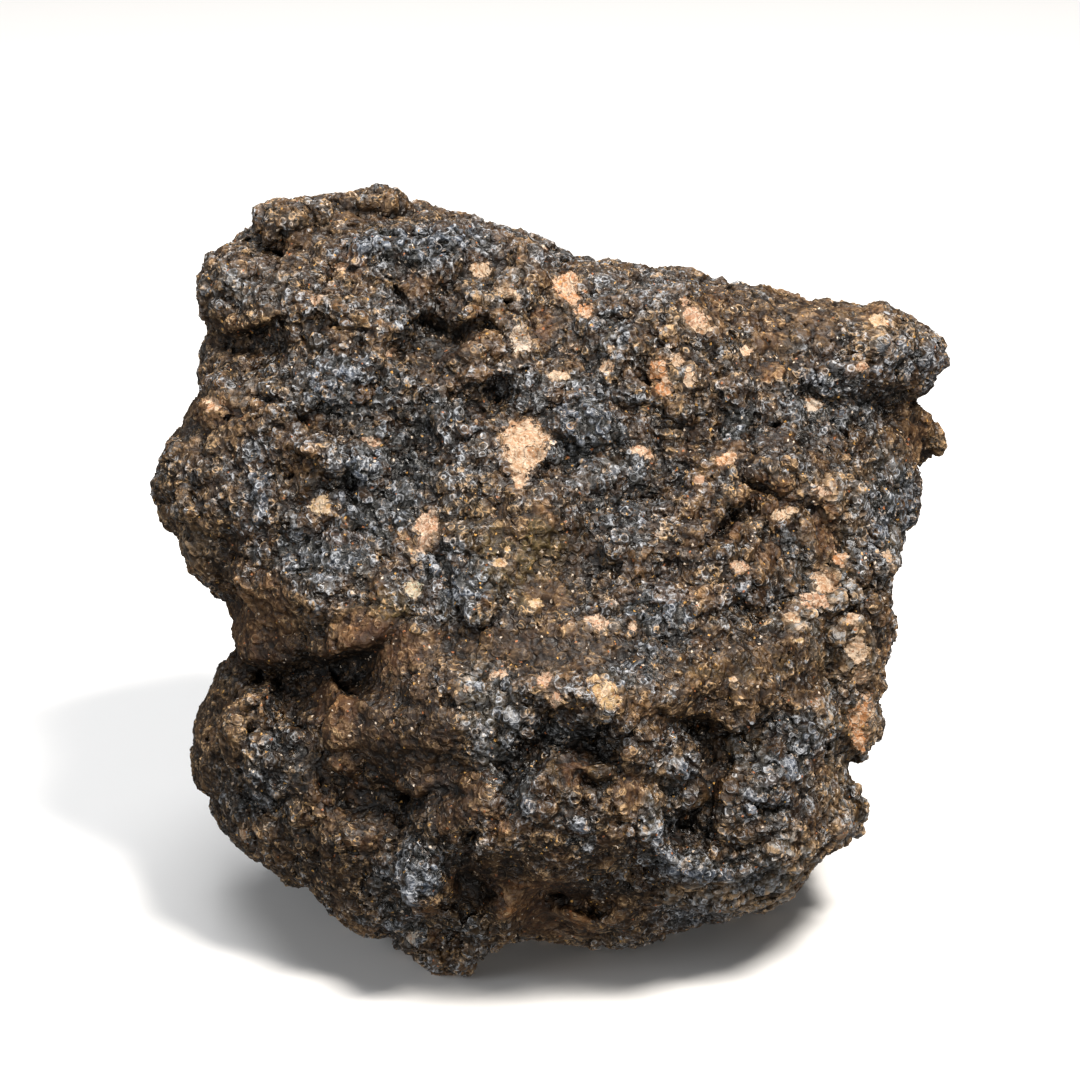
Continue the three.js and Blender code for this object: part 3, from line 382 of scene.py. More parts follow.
# Blue-grey glassy crust, its blue-grey partly real colour and partly a painted sheen of cool light: the same.
BLUE = [
    ("face", -19.4, 16.1, 4.9, 3.5, 0, 0.75),
    ("face_b", -16.3, 6.1, 4.7, 5.9, 0, 1),
    ("face_c", -22.2, -1.2, 4.7, 3.1, 0, 0.9),
    ("left_b", -28.8, 6.1, 1.8, 5.1, 0, 0.6),
    ("left_c", -29.6, 0.8, 2.4, 2.9, 0, 0.55),
    ("top", -13.1, 30, 8.4, 2.2, 5, 0.85),
    ("top_b", -14.1, 23, 2, 2.4, 0, 0.5),
    ("low", -9, -4.3, 4.5, 3.5, 0, 0.85),
    ("low_b", -22.4, -8.4, 1.2, 2.2, 0, 0.5),
    ("mid", -10.2, 11.2, 5.1, 4.1, 0, 0.55),
    ("centre", 5.6, 11, 5.3, 5.5, 0, 0.75),
    ("centre_b", 8.2, 5.9, 4.3, 6.1, 0, 0.65),
    ("centre_c", 7.3, 20.9, 2, 4.1, 0, 0.6),
    ("centre_d", 0, 15.1, 6.1, 2.4, 0, 0.55),
    ("right", 20.6, 11.7, 2.4, 2.4, 0, 0.85),
    ("right_b", 29.6, 14.3, 6.1, 3.5, 0, 0.7),
    ("right_c", 36.7, 18.2, 3.3, 2, 0, 0.7),
    ("right_d", 35.7, 3.6, 2.7, 5.7, 0, 0.85),
    ("right_e", 26.2, -2, 1.2, 4.1, 15, 0.7),
    ("right_f", 21.4, -5.9, 4.1, 2, 0, 0.5),
    ("by_clast", 12, -8.7, 3.7, 4.1, 0, 0.9),
    ("by_clast_b", 9.4, -13.5, 2.9, 1.5, 0, 1),
    ("slope", -4.9, -18.6, 3.1, 6.3, 10, 1),
    ("slope_b", -5.9, -14.5, 4.1, 2, 0, 0.75),
    ("valley", 2.2, -19.9, 3.7, 1.8, -15, 0.8),
    ("valley_b", -2, -25.7, 2.4, 3.1, 0, 0.6),
    ("knob", -13.5, -33.9, 4.1, 3.1, 0, 0.9),
    ("knob_b", -14.1, -38, 2.4, 2.4, 0, 0.7),
    ("foot", -12.7, -40.2, 1.2, 1.2, 0, 0.8),
    ("flank", -29.8, -25.5, 3.5, 2.7, 0, 0.65),
    ("flank_b", -27, -20.9, 2.7, 1.2, 0, 0.5),
    ("on_terrace", -11.2, -13.3, 2.7, 2, 0, 0.6),
    ("block", 14.5, -24.7, 1.8, 2.7, 0, 0.9),
    ("block_b", 12.2, -29.2, 2, 1.8, 0, 0.9),
    ("block_c", 4.3, -30.2, 1.4, 2, 25, 0.7),
    ("ridge", 15.5, -33.3, 4.9, 1.5, -15, 0.85),
    ("block_right", 24.7, -21, 5.1, 3.5, 0, 0.8),
    ("block_low", 22.7, -26.7, 4.1, 2, 0, 0.6),
    ("low_right", 21.6, -33.9, 4.5, 2, 0, 0.75),
    ("low_d", 14.5, -38, 4.3, 1.4, 0, 0.6),
    ("patch", 25.5, -13.5, 1.4, 2.4, -30, 0.7),
    ("crown", 2.2, 29, 3.1, 1.4, 0, 0.5),
    ("crown_b", 9.4, 25.7, 6.1, 1.8, 0, 0.35),
    ("corner", 40.3, 17.6, 2, 3.1, 0, 0.5),
    ("edge", 30.1, -16.3, 2, 2, 0, 0.4),
    ("low_e", 5.6, -37.2, 1.4, 1.8, 0, 0.6),
    ("low_f", -7.1, -39.8, 2.4, 1.4, 0, 0.4),
    ("bulge", -29.1, 26, 4.5, 2, 0, 0.35),
    ("right_g", 31.6, -2, 1.4, 3.1, 0, 0.5),
]

# Olive and golden glass: the same.
OLIVE = [
    ("glass", -1.8, -2, 4.3, 4.5, 0, 0.9),
    ("glass_b", 0, -5.1, 3.5, 2.2, 0, 0.7),
    ("cobble", -15.3, -6.8, 2, 1.8, 0, 0.9),
    ("glass_low", -7.7, -7.3, 3.1, 1.4, 0, 0.5),
    ("face", 15.3, 11.2, 3.1, 4.1, 0, 0.25),
    ("band", 22.4, 19.9, 6.1, 1.6, 0, 0.3),
    ("ledge", 20.4, -12.8, 7.1, 1.4, 0, 0.4),
    ("top", -19.4, 25.5, 4.1, 1.6, 0, 0.3),
    ("valley", 3.6, -24, 3.3, 2.4, 0, 0.4),
    ("mound", 6.1, -23.5, 2.9, 2, 0, 0.4),
    ("foot", -7.1, -39.3, 2.7, 2, 0, 0.3),
    ("left", -27.6, -8.2, 4.1, 1.4, 0, 0.2),
    ("right_top", 34.7, 21.4, 2, 1.4, 0, 0.3),
    ("mid", -7.1, 2, 2, 3.1, 0, 0.35),
]

# Dark patches, mostly painted shade in hollows, clefts and undercuts and on faces turned away from the light, partly
# darker crust: the same.
SHADE_PATCHES = [
    ("hollow", -9.7, 20.2, 4.7, 2.7, 0, 0.6),
    ("hollow_b", -6.9, 13.8, 2.8, 1.7, 0, 0.6),
    ("cleft", -31.1, 21.2, 3.7, 1.8, 0, 0.6),
    ("fold", -23.9, 13.5, 2, 0.8, -10, 0.6),
    ("fold_b", -27.6, 0.5, 4.3, 1, 8, 0.5),
    ("left", -33.7, -1.2, 3.1, 2, 0, 0.35),
    ("pit", 18.9, 1.6, 1.8, 1.3, 0, 1),
    ("right_hollow", 23, 11.7, 4.3, 1.5, -8, 0.6),
    ("right_top", 21.4, 17.6, 3.1, 1.2, 0, 0.5),
    ("right_pit", 29.6, 7.1, 1.8, 1.1, 0, 0.6),
    ("right_pit_b", 32.1, 13.8, 1.8, 1.2, 0, 0.5),
    ("finger", 37.6, 10.8, 1.6, 2.4, -35, 0.6),
    ("right_c", 20.9, 5.6, 2.4, 0.9, 0, 0.4),
    ("mid", 8, 4.9, 1.6, 1.4, 0, 0.4),
    ("mid_b", 6.1, -2.6, 2.4, 1.2, 0, 0.4),
    ("mid_c", 11.2, -5.1, 3.3, 0.9, 0, 0.3),
    ("mid_d", 20.4, -7.7, 2.4, 1.2, 0, 0.4),
    ("mid_e", 15.3, -12.2, 2.7, 1.2, 0, 0.4),
    ("undercut", -27.3, -12, 5.3, 1.7, 0, 0.9),
    ("undercut_b", -19.2, -11.2, 6.1, 1.5, 25, 0.9),
    ("undercut_c", -24.2, -19.9, 2.2, 4.3, -25, 0.7),
    ("lobe", -20.9, -25.5, 15.3, 11, 0, 0.45),
    ("facet", -14.3, -19.9, 6.7, 5.3, 0, 0.85),
    ("lip", -15.8, -24.7, 6.3, 1.3, -10, 0.75),
    ("lip_b", -11.2, -28.1, 3.1, 2, 0, 0.7),
    ("low_left", -24.5, -32.9, 6.3, 2, 0, 0.5),
    ("recess", -6.9, -34.1, 2.7, 3.7, 0, 0.9),
    ("low_b", -19.9, -37.2, 4.3, 1.8, 0, 0.4),
    ("knob_side", -9.5, -37.6, 1.6, 3.3, 0, 0.6),
    ("slot_a", 3.1, -36, 2.3, 1.4, 0, 0.9),
    ("slot_b", 7.9, -35.5, 2.6, 1, 0, 0.9),
    ("valley", -2.2, -23.3, 1.8, 4.3, 0, 0.7),
    ("valley_b", 2.2, -23, 2.2, 3.1, 0, 0.7),
    ("pocket", 6.7, -19.4, 2.4, 1.2, 0, 0.6),
    ("pocket_b", 7.3, -24.1, 2.2, 1.3, 0, 0.8),
    ("crevice", 16.9, -23.5, 1.4, 6.3, 5, 0.85),
    ("crevice_b", 16.3, -29.2, 1.8, 1.4, 0, 0.6),
    ("side", 29.6, -21.8, 0.8, 1.4, 0, 0.5),
    ("side_b", 23.8, -27.3, 1.6, 1, 0, 0.5),
    ("low_centre", 2, -28.8, 11.7, 6.1, 0, 0.3),
    ("facet_top", -15.1, -16.1, 4.7, 2.2, 0, 0.75),
    ("under_facet", -10, -27.8, 4.3, 3.9, 0, 1),
    ("low_left_b", -20.6, -31.8, 3.9, 2.7, 0, 0.65),
    ("terrace", -1, -11.2, 11.2, 2.2, 0, 0.5),
    ("terrace_right", 17.9, -11.2, 8.2, 2.2, 0, 0.7),
    ("low_mid", 0.5, -26.3, 9.2, 3.1, 0, 0.6),
    ("lobe_left", -25.5, -23.5, 4.1, 5.3, 0, 0.95),
    ("top_right", 20.6, 19.4, 3.5, 1.8, 0, 0.5),
    ("top_right_b", 25.5, 19.2, 2.9, 1.6, 0, 0.35),
    ("mid_i", 15.3, -1.2, 2.7, 1.8, 0, 0.45),
    ("mid_j", -6.1, 19.4, 2.4, 1.6, 0, 0.4),
    ("mid_k", 5.1, -11.2, 2.7, 1.8, 0, 0.4),
    ("left_high", -30.6, -2, 2.7, 1.4, 0, 0.3),
    ("centre_a", 20.4, 14.3, 2.7, 1.6, 0, 0.3),
    ("wedge", -20.4, -11.7, 3.5, 1.6, 0, 0.9),
    ("hollow_low", -9.4, 18.8, 3.3, 1.8, 0, 0.85),
    ("right_mid", 20.6, 5.1, 5.7, 4.1, 0, 0.45),
    ("right_mid_b", 25.5, 9.2, 3.1, 2.2, 0, 0.6),
    ("mid_f", 15.5, 4.1, 2.7, 1.8, 0, 0.45),
    ("mid_g", 20.4, -1.5, 3.1, 1.8, 0, 0.5),
    ("mid_h", 6.1, -11.7, 3.1, 1.6, 0, 0.35),
    ("low_face", -14.8, -6.1, 4.1, 1.4, 0, 0.25),
    ("left_low", -30.6, -6.1, 3.1, 1.4, 0, 0.2),
    ("v3", -0.4, -16.3, 1.4, 1.6, 0, 0.4),
    ("fold_c", -22.4, 7.7, 3.1, 0.8, 15, 0.35),
    ("v4", 10.2, -20.4, 1.4, 0.8, 0, 0.4),
    ("low_c", 10.2, -36.2, 2, 1, 0, 0.4),
]

# Paler, broken and dusted crust: the same.
ASH = [
    ("slope", -5.4, -17.6, 2, 5.3, 10, 0.85),
    ("column", 28.8, -4.9, 3.5, 3.5, -30, 1),
    ("column_b", 25.5, -8.4, 3.3, 0.9, -15, 0.9),
    ("column_c", 31.1, -2.2, 1.1, 1.8, 0, 0.9),
    ("side", 32.8, -12.2, 1.7, 3.1, 0, 0.8),
    ("side_b", 32.7, -19.2, 1.8, 3.7, 0, 0.9),
    ("side_c", 31.8, -28.8, 2.9, 3.9, 0, 0.5),
    ("edge", 34.7, 7.3, 4.1, 1.8, 45, 0.55),
    ("spot", 27.8, 14.1, 1.4, 1.2, 0, 0.8),
    ("spot_b", 2, 16.7, 2.2, 1.3, 0, 0.5),
    ("streak", 12.3, -24.5, 1.3, 3.7, -30, 0.7),
    ("streak_b", 11.4, -28.8, 0.9, 2.4, -30, 0.7),
    ("ridge", 16.3, -33, 3.5, 0.8, 0, 0.6),
    ("ridge_b", 20.2, -31.3, 2.2, 0.8, 20, 0.5),
    ("bulge", -29.4, 25.9, 5.1, 2, 0, 0.45),
    ("terrace", 6.1, -8.4, 4.3, 0.9, 0, 0.4),
    ("top_right", 36.5, 20.4, 4.1, 2.9, 0, 0.35),
    ("clast_a", 15.5, 22.4, 2.9, 1.4, 0, 0.5),
    ("clast_b", 15.1, 16.6, 2.2, 1.4, 0, 0.6),
    ("clast_c", 7.3, 18.6, 1.1, 3.3, 0, 0.8),
    ("clast_d", 3.5, 24.5, 2.7, 2.4, 0, 0.45),
    ("clast_e", -4.3, 26.1, 3.9, 1.6, 20, 0.45),
    ("clast_f", -1.8, 20.2, 1.4, 2, 0, 0.5),
    ("clast_g", -11.4, 1.4, 1.4, 2.7, 0, 0.3),
    ("clast_h", -17.3, 10.2, 1.8, 1, 0, 0.5),
    ("low_face", -21.4, -4.1, 4.3, 1.5, 0, 0.35),
    ("terrace_b", 0.8, -14.5, 1.3, 2.7, 0, 0.45),
    ("terrace_c", 7.6, -14.5, 3.1, 1.8, 0, 0.5),
    ("edge_b", 36.2, -0.5, 1, 2.4, 0, 0.7),
    ("diag", 8.2, 8.2, 6.1, 0.9, 28, 0.4),
    ("crown", -19.4, 32.4, 4.1, 1.8, 0, 0.3),
    ("knob", -14.3, -36.7, 1.8, 4.1, 10, 0.35),
    ("right_e", 27, -0.5, 0.8, 4.1, 0, 0.5),
    ("low", 15.3, -37.2, 5.1, 1, 8, 0.35),
    ("low_b", 2, -39.3, 3.1, 1, -30, 0.45),
    ("face", -21.4, 19.4, 3.1, 1, 0, 0.2),
    ("side_d", 31, -11.2, 2.9, 4.5, 0, 1),
    ("side_e", 30.8, -18.8, 2.4, 4.3, 0, 1),
    ("side_f", 30.8, -25.1, 2.7, 4.1, 0, 0.85),
    ("rim_right", 30.8, 3.6, 2.9, 4.3, 0, 0.65),
    ("low_right", 20.6, -36.3, 7.1, 2, 0, 1),
    ("low_right_b", 25.5, -32.7, 3.9, 3.1, 0, 0.8),
    ("block", 20.6, -21.6, 2.4, 2.7, 0, 0.7),
    ("block_low", 15.5, -26.7, 2.2, 2.2, 0, 0.7),
    ("slope_b", -5.1, -16.7, 2.9, 4.1, 10, 0.9),
    ("left_c", -35.2, -0.5, 2, 2.4, 0, 0.5),
    ("left_d", -30.6, 19.4, 2.4, 1.6, 0, 0.3),
    ("knob_c", -14.8, -36.2, 2.7, 2.7, 0, 0.4),
    ("foot", -9.2, -41.3, 3.1, 1, 0, 0.3),
    ("base", 6.1, -41.3, 4.1, 1, 0, 0.3),
    ("column_d", 31.6, -7.1, 2, 4.1, 0, 0.5),
    ("left", -27.6, 16.3, 4.1, 1.2, 20, 0.3),
    ("left_b", -32.1, 14.3, 2.7, 1, 0, 0.5),
    ("knob_b", -13.9, -39.8, 1, 1.4, 0, 0.5),
]
# ------------------------------------------------------------------ helpers
def sstep(a, b, x):
    t = np.clip((x - a) / (b - a), 0, 1)
    return t * t * (3 - 2 * t)


def smin(a, b, k):
    h = np.maximum(k - np.abs(a - b), 0) / k
    return np.minimum(a, b) - h * h * k * 0.25


def smax(a, b, k):
    return -smin(-a, -b, k)


def outline_distance(U, V):
    d2 = np.full(U.shape, 1e9); inside = np.zeros(U.shape, bool)
    a, b = OUTLINE, np.roll(OUTLINE, -1, 0)
    for i in range(len(a)):
        eu, ev = b[i] - a[i]; du, dv = U - a[i, 0], V - a[i, 1]
        t = np.clip((du * eu + dv * ev) / (eu * eu + ev * ev), 0, 1)
        d2 = np.minimum(d2, (du - t * eu) ** 2 + (dv - t * ev) ** 2)
        inside ^= ((a[i, 1] > V) != (b[i, 1] > V)) & (U < a[i, 0] + dv / (ev + 1e-12) * eu)
    d = np.sqrt(d2); d[inside] *= -1
    return d


def planes(rows, U, V, k):
    out = None
    for u0, v0, w, gu, gv in rows:
        x = w + gu * (U - u0) + gv * (V - v0)
        out = x if out is None else smin(out, x, k)
    return out


def bumps(rows, U, V):
    h = np.zeros(U.shape)
    for _, u0, v0, ru, rv, turn, high, sharp in rows:
        c, s = math.cos(math.radians(turn)), math.sin(math.radians(turn)); x, y = U - u0, V - v0
        q = np.sqrt(((x * c + y * s) / ru) ** 2 + ((-x * s + y * c) / rv) ** 2)
        h += high * np.exp(-0.7 * q ** sharp)
    return h


def ledges(U, V):
    h = np.zeros(U.shape)
    for _, line, lip, lip_w, drop, drop_w in LEDGES:
        P = np.array(line); best = np.full(U.shape, 1e9); side = np.zeros(U.shape); along = np.zeros(U.shape)
        run = np.concatenate([[0], np.cumsum(np.hypot(*(P[1:] - P[:-1]).T))])
        for i in range(len(P) - 1):
            eu, ev = P[i + 1] - P[i]; n = math.hypot(eu, ev); du, dv = U - P[i, 0], V - P[i, 1]
            t = np.clip((du * eu + dv * ev) / (n * n), 0, 1); d = np.hypot(du - t * eu, dv - t * ev); m = d < best
            best = np.where(m, d, best); side = np.where(m, (eu * dv - ev * du) / n, side); along = np.where(m, (run[i] + t * n) / run[-1], along)
        past = np.sqrt(np.maximum(best ** 2 - side ** 2, 0))
        fade = np.clip(np.minimum(along, 1 - along) * 4 + 0.15, 0, 1) * np.exp(-(past / 1.2) ** 2)
        st = 1 / (1 + np.exp(np.clip(-side / 0.28, -60, 60)))
        h += fade * (st * lip * np.exp(-np.abs(side) / lip_w) - (1 - st) * drop * np.exp(-(side / drop_w) ** 2))
    return h


def blur(A, r, rounds):
    for _ in range(rounds):
        for ax in (0, 1):
            P = np.pad(A, [(r + 1, r) if a == ax else (0, 0) for a in (0, 1)], mode="edge"); C = np.cumsum(P, axis=ax)
            A = (np.take(C, range(2 * r + 1, C.shape[ax]), axis=ax) - np.take(C, range(0, C.shape[ax] - 2 * r - 1), axis=ax)) / (2 * r + 1)
    return A


# relief of front and back on a (u, v) grid
GN, LIM = 521, 52.0
GC = 2 * LIM / (GN - 1)


def relief():
    g = np.linspace(-LIM, LIM, GN); U, V = np.meshgrid(g, g, indexing="ij")
    sd = outline_distance(U, V); soft = blur(sd, int(round(2.4 / GC)), 3)
    wu = U + 0.30 * np.sin(1.15 * V + 0.6 * U + 0.3) + 0.8 * np.sin(0.48 * V - 0.31 * U + 2.0)
    wv = V + 0.28 * np.sin(1.05 * U - 0.5 * V + 2.2) + 0.7 * np.sin(0.42 * U + 0.37 * V)
    roll = lambda x: np.sqrt(np.maximum(1 - (1 - np.clip(x, 0, 1)) ** 2, 0))
    H = smax(planes(UPPER_PLANES, U, V, UPPER_BLEND), planes(LOWER_PLANES, U, V, LOWER_BLEND), TERRACE_BLEND)
    H = H + bumps(BUMPS, wu, wv) + ledges(wu, wv) - RIM * (1 - roll(-soft / RIM))
    B = -6 - 32 * roll(-soft / 34) - bumps(BACK_BUMPS, U, V)
    out = [sd]
    for h in (H, B):
        gu, gv = np.gradient(h, GC); out += [h, np.sqrt(1 + np.minimum(gu * gu + gv * gv, 9))]
    return np.stack(out, -1).astype(f32)


RELIEF = relief()


def waves(n, lo, hi, s):
    i = np.arange(n); z = 1 - 2 * (i + 0.5) / n; a = 2.399963 * i + s; r = np.sqrt(1 - z * z)
    L = lo * (hi / lo) ** ((0.618034 * i + 0.37 * s) % 1.0); ph = 2 * np.pi * ((0.754878 * i + 0.569840 * s) % 1.0)
    d = np.stack([r * np.cos(a), r * np.sin(a), z], 1)
    return (d * 2 * np.pi / L[:, None]).astype(f32), ph.astype(f32), (L / hi).astype(f32)


LONG, SHORT = waves(15, 12, 26, 1.3), waves(27, 5.5, 12, 2.7)


def undulate(P, W):
    K, ph, am = W; s = np.zeros(len(P), f32)
    for i in range(len(K)):
        s += am[i] * np.sin(P @ K[i] + ph[i])
    return s / f32(math.sqrt(len(K) / 2))


def stone_distance(P):
    P = np.ascontiguousarray(P, f32); k = EYE / (EYE - P[:, 2]); w = P[:, 2]
    x = np.clip((P[:, 0] * k + LIM) / GC, 0, GN - 1.001); y = np.clip((P[:, 1] * k + LIM) / GC, 0, GN - 1.001)
    i = x.astype(int); j = y.astype(int); fx = (x - i)[:, None]; fy = (y - j)[:, None]
    g = RELIEF[i, j] * (1 - fx) * (1 - fy) + RELIEF[i + 1, j] * fx * (1 - fy) + RELIEF[i, j + 1] * (1 - fx) * fy + RELIEF[i + 1, j + 1] * fx * fy
    n = 0.9 * undulate(P, LONG) + 0.6 * undulate(P, SHORT)
    a = (w - g[:, 1]) / g[:, 2] + n; b = (g[:, 3] - w) / g[:, 4] + n * 1.8
    girdle = -15 + 5 * np.sin(0.11 * P[:, 0] + 1.0) + 4 * np.sin(0.13 * P[:, 1] + 0.09 * P[:, 0]); q = (w - girdle) / np.where(w > girdle, 34.0, 15.0)
    inset = 3.0 * (1 - np.exp(-q * q * np.abs(q))) * (1 + 0.5 * n)
    d = smax(smax(a, b, 3.0), g[:, 0] / k + np.maximum(inset, 0), 1.2)
    for _, u0, v0, w0, ru, rv, rw in KNOBS:
        near = np.sqrt(((P[:, 0] - u0) / ru) ** 2 + ((P[:, 1] - v0) / rv) ** 2 + ((w - w0) / rw) ** 2) - 1
        d = smin(d, near * min(ru, rv, rw), 1.6)
    return d - SWELL


# ------------------------------------------------------------------ cell noise with seeded hashes
def _hash(ix, iy, iz, s):
    h = (ix.astype(np.uint32) * np.uint32(0x8DA6B343)) ^ (iy.astype(np.uint32) * np.uint32(0xD8163841)) ^ (iz.astype(np.uint32) * np.uint32(0xCB1AB31F)) ^ np.uint32((s * 0x9E3779B1) & 0xFFFFFFFF)
    h ^= h >> np.uint32(15); h *= np.uint32(0x2C1B3C6D); h ^= h >> np.uint32(12); h *= np.uint32(0x297A2D39); h ^= h >> np.uint32(15)
    return h


def rnd(h, k):
    x = h * np.uint32((2 * k + 1) * 0x9E3779B1 & 0xFFFFFFFF) + np.uint32(k * 0x85EBCA6B & 0xFFFFFFFF)
    x ^= x >> np.uint32(16); x *= np.uint32(0x7FEB352D); x ^= x >> np.uint32(15)
    return (x >> np.uint32(8)).astype(f32) * f32(1 / 16777216)


def cells(P, size, seed, jitter=1.0):
    """Distances to the nearest and second nearest cell point, the nearest one's hash, and the way from it."""
    q = (P / size).astype(f32); b = np.floor(q).astype(np.int32)
    d1 = np.full(len(P), 9.0, f32); d2 = d1.copy(); hid = np.zeros(len(P), np.uint32); vec = np.zeros((len(P), 3), f32)
    for dx in (-1, 0, 1):
        for dy in (-1, 0, 1):
            for dz in (-1, 0, 1):
                cx, cy, cz = b[:, 0] + dx, b[:, 1] + dy, b[:, 2] + dz
                h = _hash(cx, cy, cz, seed)
                rx = q[:, 0] - (cx + 0.5 + jitter * (rnd(h, 1) - 0.5)); ry = q[:, 1] - (cy + 0.5 + jitter * (rnd(h, 2) - 0.5)); rz = q[:, 2] - (cz + 0.5 + jitter * (rnd(h, 3) - 0.5))
                d = rx * rx + ry * ry + rz * rz; m = d < d1
                d2 = np.where(m, d1, np.minimum(d2, d)); d1 = np.where(m, d, d1); hid = np.where(m, h, hid)
                vec[m, 0] = rx[m]; vec[m, 1] = ry[m]; vec[m, 2] = rz[m]
    return np.sqrt(d1) * size, np.sqrt(d2) * size, hid, vec * size


def value_noise(P, size, seed):
    q = (P / size).astype(f32); b = np.floor(q).astype(np.int32); t = q - b; t = t * t * (3 - 2 * t); s = np.zeros(len(P), f32)
    for dx in (0, 1):
        for dy in (0, 1):
            for dz in (0, 1):
                h = _hash(b[:, 0] + dx, b[:, 1] + dy, b[:, 2] + dz, seed)
                s += rnd(h, 4) * np.where(dx, t[:, 0], 1 - t[:, 0]) * np.where(dy, t[:, 1], 1 - t[:, 1]) * np.where(dz, t[:, 2], 1 - t[:, 2])
    return s * 2 - 1


def fbm(P, size, seed, octaves=3, gain=0.5):
    s = 0; a = 1.0; n = 0
    for o in range(octaves):
        s = s + a * value_noise(P, size / 2 ** o, seed + 7 * o); n += a; a *= gain
    return s / n


# ------------------------------------------------------------------ zones of the crust
def patch(rows, P, soft=0.30, wobble=None, reach=None):
    """How far inside any of these ovals each point lies, 0 to 1, seen square on to the broad face; with reach, only
    down to a set depth.
    """
    k = EYE / (EYE - P[:, 2]); U, V = P[:, 0] * k, P[:, 1] * k; out = np.zeros(len(P), f32)
    for r in rows:
        _, u0, v0, ru, rv, turn, strength = r
        m = (np.abs(U - u0) < 1.7 * max(ru, rv) + 1) & (np.abs(V - v0) < 1.7 * max(ru, rv) + 1)
        if not m.any():
            continue
        c, s = math.cos(math.radians(turn)), math.sin(math.radians(turn)); x, y = U[m] - u0, V[m] - v0
        q = np.sqrt(((x * c + y * s) / ru) ** 2 + ((-x * s + y * c) / rv) ** 2)
        near = (np.abs(x) < 0.5 * ru + 0.3) & (np.abs(y) < 0.5 * rv + 0.3)
        if reach is not None and near.any():
            w = P[m, 2]; top = w[near]; top = np.median(top[top > top.max() - 4.0])
            q = np.sqrt(q ** 2 + ((w - top) / (reach * max(ru, rv) + 0.6)) ** 2)
        if wobble is not None:
            q = q + wobble[m]
        out[m] = np.maximum(out[m], strength * sstep(1 + soft, 1 - soft, q))
    return out


CLAST_COLOURS = ("tan", "pink", "cream", "orange", "white", "yellow", "green")


def wander(P):
    """Points moved a little, so that the cells of the knobs get wavy borders."""
    return P + np.stack([value_noise(P + 13.1 * i, 4.0, 61 + i) for i in range(3)], 1) * 0.9


def zones(P, N):
    """Masks at points P (mm, face frame) with outward normals N."""
    front = sstep(-0.25, 0.05, N[:, 2]) * sstep(-34, -22, P[:, 2])
    n1 = fbm(P, 3.2, 11); n2 = fbm(P + 31.7, 7.5, 23); nc = fbm(P, 1.5, 41, 3, 0.7)
    Z = {}
    for name, rows in (("rust", RUST), ("patina", PATINA), ("blue", BLUE), ("olive", OLIVE), ("dark", SHADE_PATCHES), ("ash", ASH)):
        Z[name] = patch(rows, P, 0.45, 0.30 * n1 + 0.10 * nc) * front
    clast = np.zeros(len(P), f32); hue = np.zeros(len(P), f32)
    for r in CLASTS:
        m = patch([(r[0], r[1], r[2], r[3], r[4], r[5], 1.0)], P, 0.42, 0.05 + (0.10 + r[6]) * 1.3 * nc, 1.5) * front
        hue = np.where(m > clast, CLAST_COLOURS.index(r[0]) + 0.5, hue); clast = np.maximum(clast, m)
    # away from the broad face the same things are scattered by chance
    rest = 1 - front
    d, _, h, _ = cells(P, 9.5, 77); size = 0.9 + 1.9 * rnd(h, 5) ** 2
    m = sstep(1.15, 0.85, d / size + 0.9 * nc + 0.3 * n1) * (rnd(h, 6) < 0.40) * rest
    hue = np.where(m > clast, np.floor(rnd(h, 7) * 5.99) + 0.5, hue); clast = np.maximum(clast, m)
    Z["clast"] = clast; Z["hue"] = hue / 7
    Z["patina"] = np.maximum(Z["patina"], rest * sstep(0.05, 0.45, n2 + 0.35 * n1))
    Z["blue"] = np.maximum(Z["blue"], rest * 0.7 * sstep(0.0, 0.4, -n2 + 0.4 * n1))
    Z["rust"] = np.maximum(Z["rust"], rest * 0.6 * sstep(0.35, 0.6, fbm(P + 77, 6.0, 31)))
    Z["olive"] = np.maximum(Z["olive"], rest * 0.5 * sstep(0.3, 0.6, fbm(P + 51, 6.0, 37)))
    Z["ash"] = np.maximum(Z["ash"], rest * 0.6 * sstep(0.25, 0.6, fbm(P + 19, 5.0, 43) + 0.2 * n1))
    Z["dark"] = np.maximum(Z["dark"], rest * 0.5 * sstep(0.1, 0.5, fbm(P + 87, 9.0, 47)))
    _, _, hk, _ = cells(wander(P), 2.4, 6)
    Z["knob_a"], Z["knob_b"], Z["knob_c"] = (rnd(hk, 30 + i) for i in range(3))
    Z["smooth"] = np.clip(Z["patina"] * (0.75 + 0.5 * n1) - 0.5 * Z["blue"], 0, 1)
    return Z


